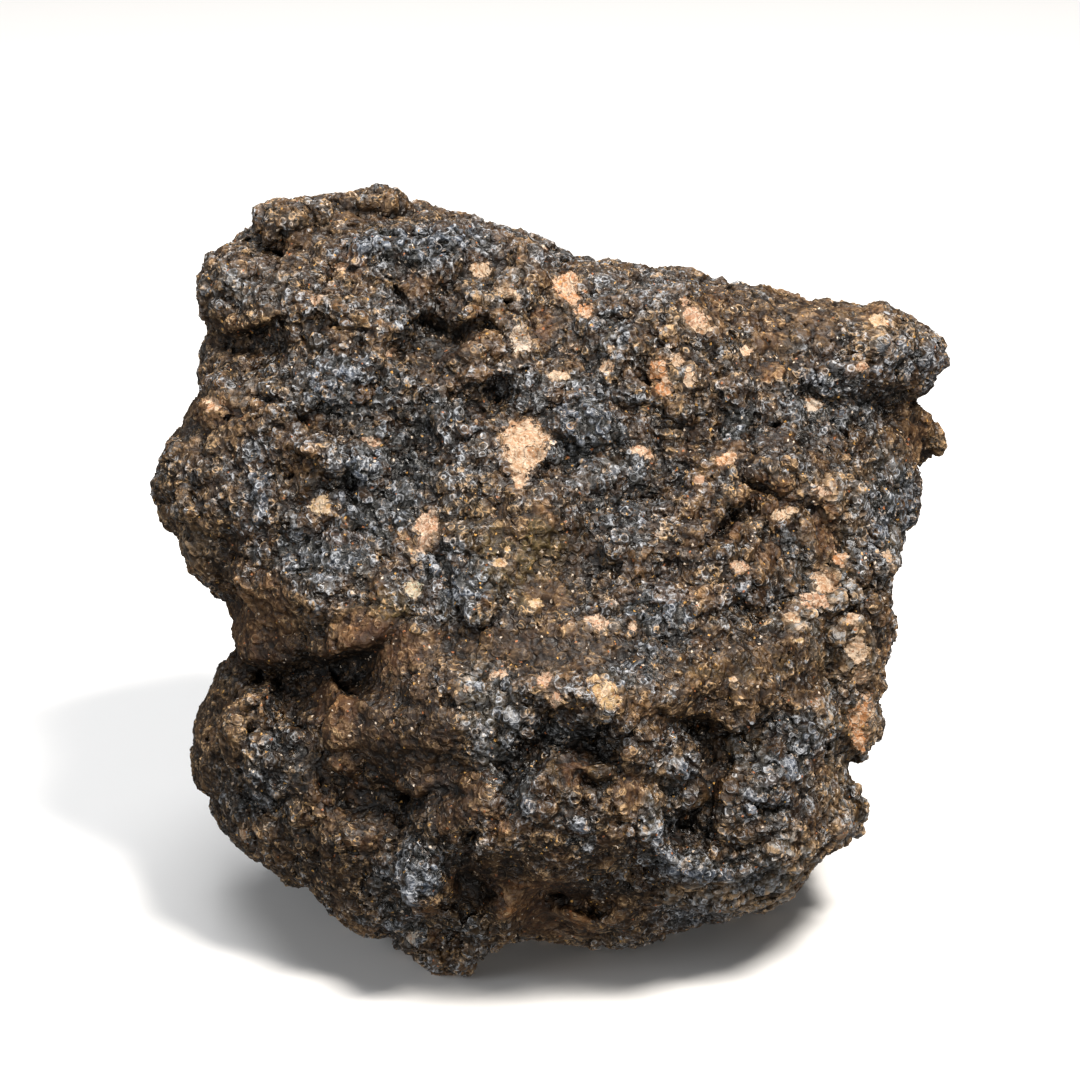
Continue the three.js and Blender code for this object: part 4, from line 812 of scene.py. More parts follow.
# ------------------------------------------------------------------ mesh the distance in a narrow band
def band_field(lo, hi, h):
    """Distance with its lumps on a grid of cells h, exact near the surface and coarse elsewhere."""
    H = 1.8
    nc = [int(math.ceil((hi[i] - lo[i]) / H)) + 1 for i in range(3)]
    ax = [lo[i] + H * np.arange(nc[i]) for i in range(3)]
    C = np.empty(nc, f32)
    for i in range(nc[0]):
        Y, Z = np.meshgrid(ax[1], ax[2], indexing="ij")
        C[i] = stone_distance(np.stack([np.full(Y.size, ax[0][i]), Y.ravel(), Z.ravel()], 1)).reshape(nc[1], nc[2])
    solid = np.clip(0.5 - C / (2 * H), 0, 1)
    for r in (1, 2, 1):
        for a in range(3):
            K = np.cumsum(np.pad(solid, [(r + 1, r) if b == a else (0, 0) for b in range(3)]), axis=a)
            solid = (np.take(K, range(2 * r + 1, K.shape[a]), axis=a) - np.take(K, range(0, K.shape[a] - 2 * r - 1), axis=a)) / (2 * r + 1)
    n = [int((nc[i] - 1) * H / h) for i in range(3)]
    fine = [(lo[i] + h * np.arange(n[i])).astype(f32) for i in range(3)]
    A = C
    for a in range(3):
        x = (fine[a] - lo[a]) / H; i = np.minimum(x.astype(int), nc[a] - 2); t = (x - i).astype(f32)
        shape = [1, 1, 1]; shape[a] = -1; t = t.reshape(shape)
        A = np.take(A, i, axis=a) * (1 - t) + np.take(A, i + 1, axis=a) * t
    near = np.argwhere(np.abs(A) < 2.3)
    for s in range(0, len(near), 400000):
        I = near[s:s + 400000]; P = np.stack([fine[0][I[:, 0]], fine[1][I[:, 1]], fine[2][I[:, 2]]], 1)
        A[I[:, 0], I[:, 1], I[:, 2]] = stone_distance(P)
    near = np.argwhere((A < 1.35) & (A > -1.6))
    for s in range(0, len(near), 400000):
        I = near[s:s + 400000]; P = np.stack([fine[0][I[:, 0]], fine[1][I[:, 1]], fine[2][I[:, 2]]], 1)
        A[I[:, 0], I[:, 1], I[:, 2]] -= lumps(P)
    up = fine[1][None, :, None] * math.cos(LEAN) + fine[2][None, None, :] * math.sin(LEAN)
    return smax(A, (REST_CUT - up).astype(f32), 0.25), fine, (solid, lo, H)


def sample_grid(P, grid):
    G, lo, H = grid; q = (P - np.array(lo)) / H; q = np.clip(q, 0, np.array(G.shape) - 1.001); b = q.astype(int); t = q - b; s = 0
    for dx in (0, 1):
        for dy in (0, 1):
            for dz in (0, 1):
                s = s + G[b[:, 0] + dx, b[:, 1] + dy, b[:, 2] + dz] * np.where(dx, t[:, 0], 1 - t[:, 0]) * np.where(dy, t[:, 1], 1 - t[:, 1]) * np.where(dz, t[:, 2], 1 - t[:, 2])
    return s


def lumps(P):
    """Height of the knobs and pits of 1 to 6 mm, at points near the surface."""
    Q = wander(P)
    a, _, ha, _ = cells(Q, 5.6, 5); b, _, hb, _ = cells(Q, 2.4, 6)
    front = sstep(-30, -20, P[:, 2])
    smooth = patch(PATINA, P, 0.45) * front
    big = 1.5 * (0.52 - 1.25 * (a / 5.6) ** 2) + 0.5 * (rnd(ha, 8) - 0.5)
    small = 0.50 - 1.75 * (b / 2.4) ** 2 + 0.35 * (rnd(hb, 8) - 0.5)
    h = 0.75 * big * (1 - 0.30 * smooth) + small * (1 - 0.65 * smooth) + 0.25 * fbm(P, 2.2, 91, 2) * (1 - 0.4 * smooth)
    # pits left by grains that fell out
    c, _, hc, _ = cells(P + 5.5, 3.4, 15); r = 0.35 + 0.75 * rnd(hc, 9)
    h -= (rnd(hc, 10) < 0.30 - 0.16 * smooth) * 1.2 * sstep(1.15, 0.5, c / r)
    return h.astype(f32) - 0.45


def surface_nets(V, ax, h):
    n = V.shape; s = V < 0
    cor = [(0, 0, 0), (1, 0, 0), (0, 1, 0), (0, 0, 1), (1, 1, 0), (1, 0, 1), (0, 1, 1), (1, 1, 1)]
    count = np.zeros([k - 1 for k in n], np.int8)
    for a, b, c in cor:
        count += s[a:n[0] - 1 + a, b:n[1] - 1 + b, c:n[2] - 1 + c]
    act = (count > 0) & (count < 8)
    idx = -np.ones(act.shape, np.int32); idx[act] = np.arange(act.sum())
    C = np.argwhere(act); acc = np.zeros((len(C), 3)); cnt = np.zeros(len(C))
    for a in cor:
        for b in cor:
            if a < b and sum(abs(x - y) for x, y in zip(a, b)) == 1:
                va = V[C[:, 0] + a[0], C[:, 1] + a[1], C[:, 2] + a[2]]; vb = V[C[:, 0] + b[0], C[:, 1] + b[1], C[:, 2] + b[2]]
                x = (va < 0) != (vb < 0); t = np.where(x, va / np.where(x, va - vb, 1), 0)
                acc += (np.array(a) + t[:, None] * (np.array(b) - np.array(a))) * x[:, None]; cnt += x
    verts = np.array([a[0] for a in ax]) + (C + acc / cnt[:, None]) * h
    quads = []
    for k in range(3):
        o = [0, 0, 0]; o[k] = 1
        A = s[:n[0] - o[0], :n[1] - o[1], :n[2] - o[2]]; B = s[o[0]:, o[1]:, o[2]:]
        X = np.argwhere(A != B); b, c = (k + 1) % 3, (k + 2) % 3
        X = X[(X[:, b] > 0) & (X[:, c] > 0) & (X[:, b] < n[b] - 1) & (X[:, c] < n[c] - 1)]
        fl = A[X[:, 0], X[:, 1], X[:, 2]]; q = []
        for db, dc in ((-1, -1), (0, -1), (0, 0), (-1, 0)):
            Y = X.copy(); Y[:, b] += db; Y[:, c] += dc; q.append(idx[Y[:, 0], Y[:, 1], Y[:, 2]])
        q = np.stack(q, 1); q[~fl] = q[~fl][:, ::-1]; quads.append(q)
    return verts, np.vstack(quads)


def largest_part(verts, quads):
    """Drops specks of crust that float free of the stone."""
    label = np.arange(len(verts))
    e = np.vstack([quads[:, [0, 1]], quads[:, [1, 2]], quads[:, [2, 3]], quads[:, [3, 0]]])
    while True:
        m = np.minimum(label[e[:, 0]], label[e[:, 1]]); new = label.copy()
        np.minimum.at(new, e[:, 0], m); np.minimum.at(new, e[:, 1], m); new = new[new]; new = new[new]
        if (new == label).all():
            break
        label = new
    ids, n = np.unique(label, return_counts=True); keep = label == ids[n.argmax()]
    at = -np.ones(len(verts), int); at[keep] = np.arange(keep.sum())
    return verts[keep], at[quads[keep[quads[:, 0]]]]


def vertex_normals(v, tri):
    n = np.cross(v[tri[:, 1]] - v[tri[:, 0]], v[tri[:, 2]] - v[tri[:, 0]]); out = np.zeros_like(v)
    for i in range(3):
        for c in range(3):
            out[:, c] += np.bincount(tri[:, i], n[:, c], len(v))
    return out / np.maximum(np.linalg.norm(out, axis=1), 1e-12)[:, None]


def to_row(P):
    """Face frame in millimetres to the row frame in metres."""
    y = P[:, 1] * math.sin(LEAN) - P[:, 2] * math.cos(LEAN); z = P[:, 1] * math.cos(LEAN) + P[:, 2] * math.sin(LEAN)
    return (np.stack([P[:, 0], y, z], 1) - np.array(ORIGIN)) / 1000


def to_face(R):
    Q = R * 1000 + np.array(ORIGIN); y, z = Q[:, 1], Q[:, 2]
    return np.stack([Q[:, 0], y * math.sin(LEAN) + z * math.cos(LEAN), -y * math.cos(LEAN) + z * math.sin(LEAN)], 1)


def turn_face(N):
    return np.stack([N[:, 0], N[:, 1] * math.sin(LEAN) - N[:, 2] * math.cos(LEAN), N[:, 1] * math.cos(LEAN) + N[:, 2] * math.sin(LEAN)], 1)


def cups(P, size, seed, hollow):
    """Cells that are either little cups with a raised rim or tilted knobs, as heights of about -1 to 1."""
    d1, d2, h, vec = cells(P, size, seed, 0.95); q = np.minimum((d1 / size) ** 2 * 2.4, 1.3)
    t = np.stack([rnd(h, 11), rnd(h, 12), rnd(h, 13)], 1) * 2 - 1; tilt = (vec * t).sum(1) / size
    rim = np.exp(-((d2 - d1) / (0.14 * size)) ** 2)
    cup = 1.15 * q - 0.75 + 0.55 * rim; knob = 0.55 - 0.9 * q + 1.1 * tilt - 0.25 * rim
    return np.where(rnd(h, 15) < hollow, cup, knob) + 0.7 * (rnd(h, 14) - 0.5), h


def curls(P, size, seed):
    """Thin wandering crests, 1 on the crest line and falling to 0 beside it."""
    n = value_noise(P, size, seed)
    return np.maximum(1 - np.abs(n) * 3.2, 0)


def crust_relief(P, Z):
    """Fine relief in millimetres, outwards, and the hashes of its two sizes of cells."""
    Q = P + np.stack([value_noise(P + 7.7 * i, 1.4, 161 + i) for i in range(3)], 1) * 0.55
    c1, h1 = cups(Q, 1.25, 101, 0.62); c2, h2 = cups(Q + 3.3, 0.72, 102, 0.5)
    cu = curls(Q, 1.25, 171) + 0.6 * curls(Q + 9.1, 0.8, 173)
    calm = (1 - 0.62 * Z["smooth"]) * (1 - 0.30 * Z["clast"])
    h = (0.17 * c1 + 0.065 * c2 + 0.12 * cu) * calm - 0.06 * Z["clast"]
    return h, h1, h2


V, axes, solidity = band_field((-44, -47, -48), (45, 40, 34), STEP)
verts, quads = surface_nets(V, axes, STEP)
verts, quads = largest_part(verts, quads)
del V
tri = np.vstack([quads[:, [0, 1, 2]], quads[:, [0, 2, 3]]])
normals = vertex_normals(verts, tri)
Z = zones(verts.astype(f32), normals)
fine_h, cell_h, cell_k = crust_relief(verts.astype(f32), Z)
verts = verts + normals * fine_h[:, None]
row = to_row(verts); row[:, 2] = np.maximum(row[:, 2], 0)
verts = to_face(row)
vn = vertex_normals(verts, tri)
print("fine mesh", len(row), "points", len(tri), "triangles", flush=True)

# how far each point stands out of, or lies below, the averaged surface around it, and how open it lies; from these the
# crust's colour is made lighter on crests, partly wear and partly painted light, and darker in pits and hollows as
# painted shade
edges = np.vstack([quads[:, [0, 1]], quads[:, [1, 2]], quads[:, [2, 3]], quads[:, [3, 0]]]).astype(np.int64); edges.sort(axis=1)
key = np.unique(edges[:, 0] * len(verts) + edges[:, 1]); edges = np.stack([key // len(verts), key % len(verts)], 1)
degree = np.bincount(edges.ravel(), minlength=len(verts)).astype(float)


def spread(A, rounds):
    for _ in range(rounds):
        B = np.empty_like(A)
        for c in range(3):
            B[:, c] = np.bincount(edges[:, 0], A[edges[:, 1], c], len(A)) + np.bincount(edges[:, 1], A[edges[:, 0], c], len(A))
        A = 0.25 * A + 0.75 * B / degree[:, None]
    return A


S1 = spread(verts, 4); S2 = spread(S1, 24)
up_n = vertex_normals(S2, tri)
stand1 = ((verts - S1) * vn).sum(1); stand2 = ((verts - S2) * up_n).sum(1)
open_ = 1 - sample_grid(S2 + 2.2 * up_n, solidity)
for k, v in (("stand1", stand1), ("stand2", stand2), ("open", open_)):
    print(k, np.round(np.percentile(v, (2, 10, 25, 50, 75, 90, 98)), 3), flush=True)
crest = np.clip(0.5 + stand1 / 0.34, 0, 1); bowl = np.clip(0.5 + stand2 / 1.1, 0, 1); deep = np.clip((open_ - 0.35) / 0.5, 0, 1)


def arrays(me):
    me.calc_loop_triangles()
    v = np.empty(len(me.vertices) * 3, f32); me.vertices.foreach_get("co", v)
    t = np.empty(len(me.loop_triangles) * 3, np.int32); me.loop_triangles.foreach_get("vertices", t)
    return v.reshape(-1, 3).astype(float), t.reshape(-1, 3)


def add_attribute(me, name, values, domain):
    a = me.attributes.new(name, "FLOAT", domain); a.data.foreach_set("value", np.ascontiguousarray(values, f32))


def mesh_from(name, P, T):
    me = bpy.data.meshes.new(name); me.vertices.add(len(P)); me.vertices.foreach_set("co", P.astype(f32).ravel())
    me.loops.add(3 * len(T)); me.loops.foreach_set("vertex_index", T.astype(np.int32).ravel())
    me.polygons.add(len(T)); me.polygons.foreach_set("loop_start", np.arange(0, 3 * len(T), 3, dtype=np.int32)); me.update(calc_edges=True)
    ob = bpy.data.objects.new(name, me); bpy.context.collection.objects.link(ob)
    return ob


MASKS = ("clast", "hue", "rust", "patina", "blue", "olive", "dark", "ash", "smooth", "knob_a", "knob_b", "knob_c")
# each quad is split along its shorter diagonal, and the skin is made in strips that share their border points
q = quads; d02 = np.linalg.norm(verts[q[:, 0]] - verts[q[:, 2]], axis=1); d13 = np.linalg.norm(verts[q[:, 1]] - verts[q[:, 3]], axis=1); s13 = d13 < d02
tri = np.vstack([np.where(s13[:, None], q[:, [0, 1, 3]], q[:, [0, 1, 2]]), np.where(s13[:, None], q[:, [1, 2, 3]], q[:, [0, 2, 3]])])
middle_of = verts[tri].mean(1); front_half = middle_of[:, 2] > -11
Zall = dict(Z, crest=crest, bowl=bowl, deep=deep, grain=0.65 * rnd(cell_h, 20) + 0.35 * rnd(cell_k, 21), grain_b=rnd(cell_k, 22))
skins = []
for half, mask, strips in (("front", front_half, 3), ("back", ~front_half, 3)):
    x = middle_of[:, 0]; cuts = np.quantile(x[mask], np.linspace(0, 1, strips + 1)); cuts[0] -= 1; cuts[-1] += 1
    for k in range(strips):
        T = tri[mask & (x > cuts[k]) & (x <= cuts[k + 1])]
        used = np.unique(T); at = -np.ones(len(verts), np.int64); at[used] = np.arange(len(used))
        ob = mesh_from("stone_%s_%d" % (half, k + 1), row[used], at[T]); ob.data.polygons.foreach_set("use_smooth", np.zeros(len(T), bool))
        for m in (*MASKS, "crest", "bowl", "deep", "grain", "grain_b"):
            add_attribute(ob.data, m, Zall[m][used], "POINT")
        skins.append(ob); print(ob.name, len(T), "triangles", flush=True)
face_co, tr = verts, tri

# ------------------------------------------------------------------ crystals set in the crust
rng = np.random.RandomState(20)


def crystal_shapes(count):
    """Small convex lumps with flat faces, each the hull of nine to twelve well spread points."""
    out = []
    import bmesh
    for k in range(count):
        n = 9 + k % 4; i = np.arange(n); z = 1 - 2 * (i + 0.5) / n; a = 2.399963 * i; r = np.sqrt(1 - z * z)
        d = np.stack([r * np.cos(a), r * np.sin(a), z], 1) + rng.normal(size=(n, 3)) * 0.22; d *= (rng.uniform(0.8, 1.1, n) / np.linalg.norm(d, axis=1))[:, None]
        bm = bmesh.new()
        for p in d:
            bm.verts.new(p)
        res = bmesh.ops.convex_hull(bm, input=bm.verts[:]); bmesh.ops.delete(bm, geom=[g for g in res["geom_interior"] if isinstance(g, bmesh.types.BMVert)], context="VERTS")
        bmesh.ops.triangulate(bm, faces=bm.faces[:]); bm.verts.ensure_lookup_table(); bm.verts.index_update()
        v = np.array([p.co[:] for p in bm.verts]); f = np.array([[q.index for q in g.verts] for g in bm.faces]); bm.free()
        out.append((v, f))
    return out


SHAPES = crystal_shapes(28)
print("crystal faces", np.mean([len(f) for _, f in SHAPES]), flush=True)


def scatter(name, sites, site_n, size, sink, seed, site_bowl, site_deep):
    """One mesh of crystals at these points, each half sunk in the crust."""
    r = np.random.RandomState(seed); kind = r.randint(0, len(SHAPES), len(sites)); VV = []; FF = []; who = []; base = 0
    q = r.normal(size=(len(sites), 4)); q /= np.linalg.norm(q, axis=1)[:, None]; w, x, y, z = q.T
    R = np.stack([1 - 2 * (y * y + z * z), 2 * (x * y - z * w), 2 * (x * z + y * w), 2 * (x * y + z * w), 1 - 2 * (x * x + z * z), 2 * (y * z - x * w), 2 * (x * z - y * w), 2 * (y * z + x * w), 1 - 2 * (x * x + y * y)], 1).reshape(-1, 3, 3)
    stretch = np.exp(r.normal(size=(len(sites), 3)) * 0.22)
    for k, (v, f) in enumerate(SHAPES):
        i = np.flatnonzero(kind == k)
        if not len(i):
            continue
        p = (v[None] * stretch[i][:, None, :]) @ R[i].transpose(0, 2, 1) * size[i][:, None, None] + (sites[i] - site_n[i] * (sink[i] * size[i])[:, None])[:, None, :]
        VV.append(p.reshape(-1, 3)); FF.append((f[None] + (base + np.arange(len(i)) * len(v))[:, None, None]).reshape(-1, 3)); who.append(np.repeat(i, len(v))); base += len(i) * len(v)
    VV = np.vstack(VV); FF = np.vstack(FF); who = np.concatenate(who)
    P = to_row(VV); P[:, 2] = np.maximum(P[:, 2], 0)
    me = bpy.data.meshes.new(name); me.vertices.add(len(P)); me.vertices.foreach_set("co", P.astype(f32).ravel())
    me.loops.add(3 * len(FF)); me.loops.foreach_set("vertex_index", FF.astype(np.int32).ravel())
    me.polygons.add(len(FF)); me.polygons.foreach_set("loop_start", np.arange(0, 3 * len(FF), 3, dtype=np.int32)); me.update(calc_edges=True)
    Zs = zones(sites.astype(f32), site_n)
    for m in MASKS:
        add_attribute(me, m, Zs[m][who], "POINT")
    add_attribute(me, "grain", r.uniform(size=len(sites))[who], "POINT"); add_attribute(me, "grain_b", r.uniform(size=len(sites))[who], "POINT")
    # the outer parts of each crystal get a high crest value and so painted light; bowl and openness of the site carry
    # painted shade over
    out = ((VV - sites[who]) * site_n[who]).sum(1) / size[who]
    add_attribute(me, "crest", np.clip(0.45 + 0.4 * out, 0, 1), "POINT"); add_attribute(me, "bowl", site_bowl[who], "POINT"); add_attribute(me, "deep", site_deep[who], "POINT")
    ob = bpy.data.objects.new(name, me); bpy.context.collection.objects.link(ob)
    print(name, len(sites), "crystals", len(FF), "faces", flush=True)
    return ob


def sites_on(count, seed, spacing, weight):
    """Seeded points spread over the skin, with a least distance between them, and the triangle each lies in."""
    r = np.random.RandomState(seed); a, b, c = verts[tri[:, 0]], verts[tri[:, 1]], verts[tri[:, 2]]
    area = np.linalg.norm(np.cross(b - a, c - a), axis=1) * weight; cum = np.cumsum(area); t = np.searchsorted(cum, r.uniform(0, cum[-1], count * 2))
    t = np.minimum(t, len(tri) - 1)
    s, q = np.sqrt(r.uniform(size=len(t))), r.uniform(size=len(t))
    P = a[t] * (1 - s)[:, None] + b[t] * (s * (1 - q))[:, None] + c[t] * (s * q)[:, None]
    N = up_n[tri[t]].mean(1); N /= np.linalg.norm(N, axis=1)[:, None]
    key = np.floor(P / spacing).astype(np.int64); _, first = np.unique(key[:, 0] * 73856093 ^ key[:, 1] * 19349663 ^ key[:, 2] * 83492791, return_index=True)
    first = np.sort(first)[:count]
    return P[first], N[first], t[first]


of_tri = {k: Zall[k][tri].mean(1) for k in ("smooth", "clast", "bowl", "deep", "blue")}
mn = up_n[tri].mean(1); upz = turn_face(mn)[:, 2]
height = middle_of[:, 1] * math.cos(LEAN) + middle_of[:, 2] * math.sin(LEAN) - REST_CUT
off_base = (height > 0.8) | (upz > -0.5)
pieces = []
for name, count, seed, spacing, lo_s, hi_s, front_w in (("crystals_front", 4600, 31, 0.7, 0.20, 0.52, True), ("crystals_rest", 2900, 32, 0.9, 0.24, 0.60, False)):
    wgt = (front_half if front_w else ~front_half) * (1 - 0.8 * of_tri["smooth"]) * (1 - 0.7 * of_tri["clast"]) * (0.5 + of_tri["blue"]) * off_base
    P, N, t = sites_on(count, seed, spacing, wgt)
    r = np.random.RandomState(seed + 100); size = lo_s + (hi_s - lo_s) * r.uniform(size=len(P)) ** 2.0
    size = size * (1 - 0.35 * of_tri["smooth"][t])
    pieces.append(scatter(name, P, N, size, r.uniform(0.45, 0.90, len(P)), seed + 200, of_tri["bowl"][t], of_tri["deep"][t]))


# ------------------------------------------------------------------ materials
def crust(name, fine):
    m = bpy.data.materials.new(name); m.use_nodes = True; nt = m.node_tree; nt.nodes.clear(); L = nt.links.new
    def node(kind, **kw):
        n = nt.nodes.new(kind)
        for k, v in kw.items():
            setattr(n, k, v)
        return n
    def put(sock, v):
        if isinstance(v, bpy.types.NodeSocket):
            L(v, sock)
        else:
            sock.default_value = v
    def attr(n):
        return node("ShaderNodeAttribute", attribute_name=n).outputs["Fac"]
    def math_(op, a, b=None, c=None, clamp=False):
        n = node("ShaderNodeMath", operation=op, use_clamp=clamp); put(n.inputs[0], a)
        if b is not None: put(n.inputs[1], b)
        if c is not None: put(n.inputs[2], c)
        return n.outputs[0]
    def mix(f, a, b, blend="MIX"):
        n = node("ShaderNodeMix", data_type="RGBA", blend_type=blend); put(n.inputs["Factor"], f)
        for s, v in (("A", a), ("B", b)):
            k = [i for i in n.inputs if i.name == s and i.type == "RGBA"][0]
            put(k, v if isinstance(v, bpy.types.NodeSocket) else (*v, 1))
        return [o for o in n.outputs if o.type == "RGBA"][0]
    def ramp(f, stops, interp="LINEAR"):
        n = node("ShaderNodeValToRGB"); cr = n.color_ramp; cr.interpolation = interp; put(n.inputs[0], f)
        while len(cr.elements) > 1:
            cr.elements.remove(cr.elements[-1])
        for i, (p, c) in enumerate(stops):
            e = cr.elements[0] if i == 0 else cr.elements.new(p)
            e.position = p; e.color = (*c, 1) if len(c) == 3 else c
        return n.outputs[0]
    def rampf(f, stops):
        return ramp(f, [(p, (v, v, v)) for p, v in stops])
    tc = node("ShaderNodeTexCoord").outputs["Object"]
    def scaled(k):
        n = node("ShaderNodeVectorMath", operation="SCALE"); L(tc, n.inputs[0]); n.inputs["Scale"].default_value = k; return n.outputs[0]
    mm = scaled(1000.0)
    def noise(scale, detail=3.0, rough=0.55, vec=None):
        n = node("ShaderNodeTexNoise"); L(vec or mm, n.inputs["Vector"]); n.inputs["Scale"].default_value = scale; n.inputs["Detail"].default_value = detail; n.inputs["Roughness"].default_value = rough
        return n.outputs[0]
    def voro(scale, feature="F1", out="Color", rand=1.0, vec=None):
        n = node("ShaderNodeTexVoronoi", feature=feature); L(vec or mm, n.inputs["Vector"]); n.inputs["Scale"].default_value = scale; n.inputs["Randomness"].default_value = rand
        return n.outputs[out]
    def chan(c, i):
        n = node("ShaderNodeSeparateColor"); L(c, n.inputs[0]); return n.outputs[i]

    g, gb = attr("grain"), attr("grain_b")
    # wandering coordinates, so that the fine rims curl
    wob = node("ShaderNodeTexNoise"); L(mm, wob.inputs["Vector"]); wob.inputs["Scale"].default_value = 1.1; wob.inputs["Detail"].default_value = 1.0
    half = node("ShaderNodeVectorMath", operation="SUBTRACT"); L(wob.outputs["Color"], half.inputs[0]); half.inputs[1].default_value = (0.5, 0.5, 0.5)
    push = node("ShaderNodeVectorMath", operation="MULTIPLY_ADD"); L(half.outputs[0], push.inputs[0]); push.inputs[1].default_value = (0.42, 0.42, 0.42); L(mm, push.inputs[2])
    bent = push.outputs[0]

    def flakes(scale, least, spread, width):
        """Round flakes: their rim line, how far inside one a point lies, and three numbers of each flake."""
        n = node("ShaderNodeTexVoronoi", feature="F1"); L(bent, n.inputs["Vector"]); n.inputs["Scale"].default_value = scale
        d, col = n.outputs["Distance"], n.outputs["Color"]; a = [chan(col, i) for i in range(3)]
        edge = math_("SUBTRACT", d, math_("ADD", least, math_("MULTIPLY", a[0], spread)))
        line = math_("SUBTRACT", 1.0, math_("MULTIPLY", math_("ABSOLUTE", edge), 1.0 / width), clamp=True)
        return line, math_("MULTIPLY", edge, -5.0, clamp=True), a, math_("MULTIPLY", edge, 6.0, clamp=True)
    f0 = [attr("knob_a"), attr("knob_b"), attr("knob_c")]
    l1, in1, f1, gap1 = flakes(0.64, 0.24, 0.34, 0.065)
    l2, in2, f2, gap2 = flakes(1.08, 0.22, 0.34, 0.095)
    curl = noise(1.25, 2, 0.6, bent)
    l3 = math_("SUBTRACT", 1.0, math_("MULTIPLY", math_("ABSOLUTE", math_("SUBTRACT", curl, 0.5)), 17.0), clamp=True)
    nz = noise(1.6, 3, 0.6); nf = noise(6.0, 2, 0.6); nb = noise(0.33, 2, 0.55)
    crest, bowl, deep = attr("crest"), attr("bowl"), attr("deep")
    rust, patina, blue, dark, ash, smooth = (attr(n) for n in ("rust", "patina", "blue", "dark", "ash", "smooth"))

    def zone(a, lo, hi, jitter=0.35):
        return rampf(math_("ADD", a, math_("MULTIPLY", math_("SUBTRACT", math_("ADD", math_("MULTIPLY", g, 0.4), math_("MULTIPLY", nz, 0.6)), 0.5), jitter)), [(lo, 0.0), (hi, 1.0)])
    # two things make up the crust: a smooth brown ground, and curly grey-blue glass standing on it
    np_ = math_("ADD", math_("MULTIPLY", noise(0.45, 2, 0.6), 0.55), math_("MULTIPLY", curl, 0.45))
    k = math_("ADD", np_, math_("MULTIPLY", blue, 0.13)); k = math_("SUBTRACT", k, math_("MULTIPLY", patina, 0.12)); k = math_("SUBTRACT", k, math_("MULTIPLY", rust, 0.08))
    k = math_("ADD", k, math_("MULTIPLY", math_("SUBTRACT", crest, 0.5), 0.16)); k = math_("ADD", k, math_("MULTIPLY", math_("SUBTRACT", f2[1], 0.5), 0.14))
    k = math_("ADD", k, math_("MULTIPLY", math_("SUBTRACT", f1[1], 0.5), 0.08))
    k = math_("ADD", k, math_("MULTIPLY", math_("SUBTRACT", f0[0], 0.5), 0.15))
    curly = rampf(k, [(0.490, 0.0), (0.530, 1.0)])
    ground = mix(rampf(math_("ADD", math_("MULTIPLY", nb, 0.5), math_("MULTIPLY", nz, 0.5)), [(0.38, 0.0), (0.62, 1.0)]), (0.0135, 0.0070, 0.0028), (0.047, 0.0245, 0.0092))
    ground = mix(rampf(noise(0.9, 2, 0.6), [(0.52, 0.0), (0.66, 0.6)]), ground, (0.070, 0.040, 0.0165))
    ground = mix(math_("MULTIPLY", zone(attr("olive"), 0.15, 0.8), 0.85), ground, (0.060, 0.043, 0.014))
    ground = mix(math_("MULTIPLY", zone(rust, 0.15, 0.85, 0.6), 0.90), ground, (0.080, 0.034, 0.0100))
    glass = mix(rampf(math_("ADD", math_("MULTIPLY", f1[2], 0.5), math_("MULTIPLY", f2[2], 0.5)), [(0.30, 0.0), (0.75, 1.0)]), (0.0130, 0.0094, 0.0062), (0.044, 0.0345, 0.0262))
    # blue-grey glass, partly a painted sheen of cool light
    cool = mix(rampf(math_("ADD", math_("MULTIPLY", f1[2], 0.4), math_("MULTIPLY", f2[2], 0.6)), [(0.30, 0.0), (0.75, 1.0)]), (0.0122, 0.0156, 0.0212), (0.037, 0.0470, 0.065))
    glass = mix(math_("MULTIPLY", zone(blue, 0.15, 0.75), 0.9), glass, cool)
    glass = mix(math_("MULTIPLY", zone(attr("olive"), 0.15, 0.8), 0.6), glass, (0.046, 0.036, 0.015))
    glass = mix(math_("MULTIPLY", zone(patina, 0.2, 0.9), 0.75), glass, (0.034, 0.0215, 0.0125))
    glass = mix(math_("MULTIPLY", zone(rust, 0.2, 0.9, 0.5), 0.80), glass, (0.055, 0.026, 0.0105))
    c = mix(curly, ground, glass)
    # now and then a whole knob is tan or rusty brown
    c = mix(rampf(math_("ADD", f0[2], math_("MULTIPLY", math_("SUBTRACT", math_("ADD", patina, rust), blue), 0.12)), [(0.80, 0.0), (0.83, 0.55)]), c, mix(rampf(nz, [(0.4, 0.0), (0.6, 1.0)]), (0.062, 0.030, 0.0115), (0.120, 0.072, 0.035)))
    # broken, dusted crust
    dust = math_("MULTIPLY", zone(ash, 0.15, 0.85, 0.5), rampf(math_("ADD", math_("MULTIPLY", f2[0], 0.6), math_("MULTIPLY", nz, 0.4)), [(0.35, 0.10), (0.55, 1.0)]))
    c = mix(math_("MULTIPLY", dust, 0.84), c, mix(rampf(math_("ADD", gb, math_("MULTIPLY", blue, -0.4)), [(0.3, 0.0), (0.7, 1.0)]), (0.132, 0.124, 0.113), (0.205, 0.140, 0.083)))
